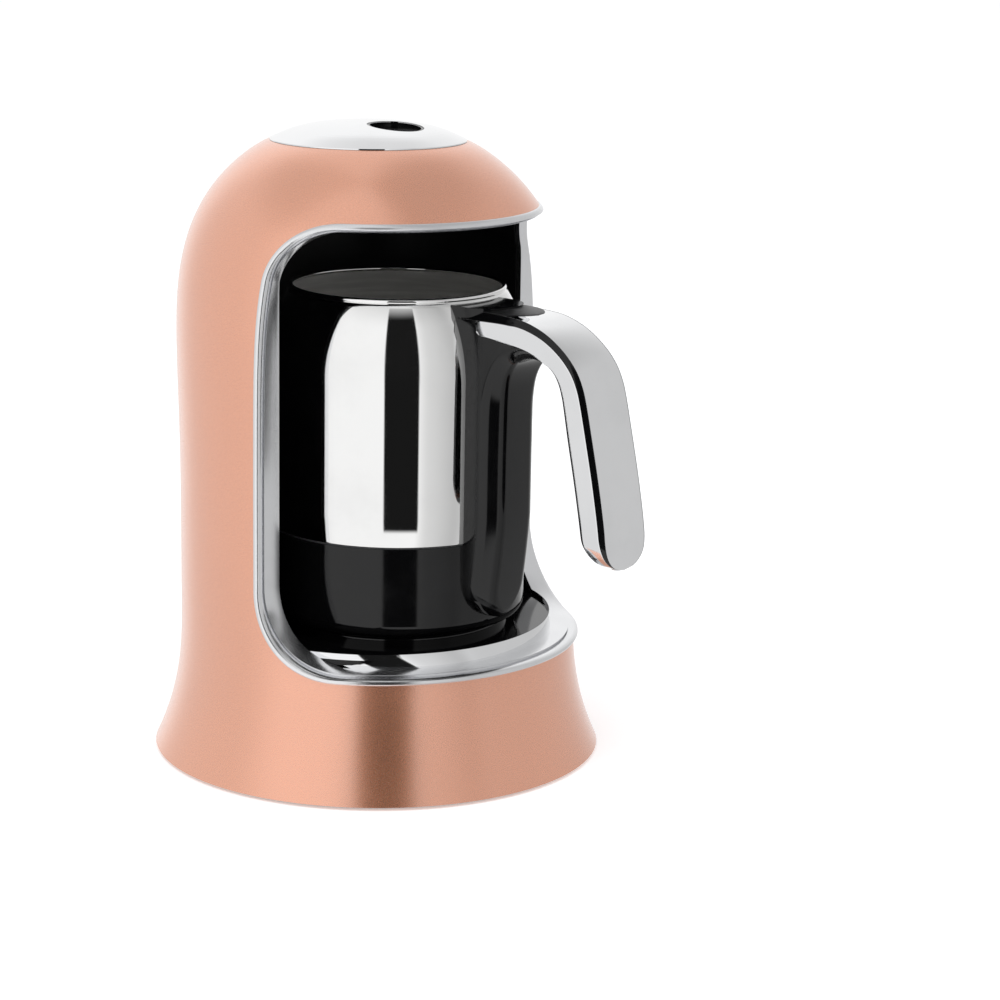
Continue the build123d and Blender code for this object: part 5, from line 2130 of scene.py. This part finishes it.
@dataclass
class PotSpine:
    """Black spine that carries the handle, from the cup up to the rim.

    Attributes:
        vessel: The pot that it lies against.
        half: Half of its width.
        front: Y of its front face.
        bottom: Height of its rounded lower end.
        top: Height of its upper end.
        corner: Rounding of its front edges.
        taper: How far the lower end lies behind the front.
        taper_top: Height where that lean begins.
        top_round: Rounding of its upper edges.
    """

    vessel: PotVessel = field(default_factory=PotVessel)
    half: float = 12.46
    front: float = -65.9
    bottom: float = 57.6
    top: float = 165.4
    corner: float = 7.0
    taper: float = 4.6
    taper_top: float = 94.0
    top_round: float = 4.2

    def _level(self, height: float) -> Pair:
        """Half width and front face at a height.

        Args:
            height: Height over the counter.

        Returns:
            The half width, and Y of the front face.
        """
        half, front = self.half, self.front
        hub = self.bottom + self.half
        if height < hub:
            half *= math.sqrt(max(0.0, 1 - ((hub - height) / self.half) ** 2))
        if height < self.taper_top:
            share = (self.taper_top - height) / (self.taper_top - self.bottom)
            front += self.taper * share**1.3
            front += 2.2 * max(0.0, 1 - (height - self.bottom) / 3.0) ** 2
        over = height - (self.top - self.top_round)
        if over > 0:
            half -= self.top_round - math.sqrt(max(0.0, self.top_round**2 - over**2))
        return half, front

    def _section(self, height: float) -> list[Point]:
        """Outline at a height: the front with its rounded edges, then the back along the pot.

        Args:
            height: Height over the counter.

        Returns:
            Points round the section.
        """
        half, front = self._level(height)
        half = max(half, 0.05)
        corner = min(self.corner, half * 0.98)
        right = [(half, front + corner + 4.0), *softened(half, corner, front)]
        left = [(-across, along) for across, along in reversed(right)]
        reach = self.vessel.reach_at(height) - 0.45
        back = []
        for step in range(9):
            across = half * (1 - step / 4)
            back.append((across, POT_AXIS_MM[1] - math.sqrt(reach**2 - across**2)))
        return [(across, along, height) for across, along in [back[0], *right, *left, *reversed(back[1:])]]

    def build(self, paints: Paintbox) -> None:
        """Args:
            paints: The finishes.
        """
        low = [self.bottom + self.half * (1 - math.cos(math.radians(angle))) for angle in range(0, 91, 6)]
        middle = [self.bottom + self.half + step * 6.0 for step in range(1, 16)]
        over = self.top - self.top_round
        high = [over + self.top_round * math.sin(math.radians(angle)) for angle in range(0, 85, 12)]
        heights = [height for height in low + middle if height < over] + high
        piece = MeshKit.capped("pot_spine", [self._section(height) for height in heights])
        paints.dress(piece, Slot.BLACK_GLOSS)
        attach(piece, "jug")
        LOG.info("spine: %d faces", len(piece.data.polygons))


# ------------------------------------------------------------------ whole object
@dataclass
class CoffeeMaker:
    """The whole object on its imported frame.

    Attributes:
        frame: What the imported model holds.
        paints: The finishes.
    """

    frame: dict[str, object]
    paints: Paintbox = field(default_factory=Paintbox)

    def dress_nodes(self) -> None:
        """Give every CAD node the finish of its slot."""
        slots = {entry["node"]: Slot(entry["material_slot"]) for entry in self.frame["record"]["subparts"]}
        for name, node in self.frame["nodes"].items():
            self.paints.dress(node, slots[name])
        LOG.info("dressed %d nodes", len(slots))

    def build(self) -> None:
        """Dress the nodes, then build each sub-assembly."""
        self.dress_nodes()
        OpeningFrame().build(self.paints)
        CapButton().build(self.paints)
        PotVessel().build(self.paints)
        PotSpine().build(self.paints)
        PotHandle().build(self.paints)
        Underside().build(self.paints)
        boss_places = circle_places(36.9, (90, 210, 330), POT_AXIS_MM)
        boss = CrossScrew(head_radius=1.8, head_height=1.1, shaft_radius=1.0, shaft_length=7.6)
        grip = CrossScrew(head_radius=2.2, head_height=1.4, shaft_radius=1.2, shaft_length=8.6)
        ScrewSet("jug_base_screws", "jug", boss, boss_places, 52.9).build(self.paints)
        ScrewSet("shell_screw", "jug", grip, [(0.0, -110.6)], 85.6).build(self.paints)


def main() -> None:
    logging.basicConfig(level=logging.INFO, format="%(name)s: %(message)s")
    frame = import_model()
    Studio().build()
    CoffeeMaker(frame).build()
    LOG.info("sizes written")


if __name__ == "__main__":
    main()
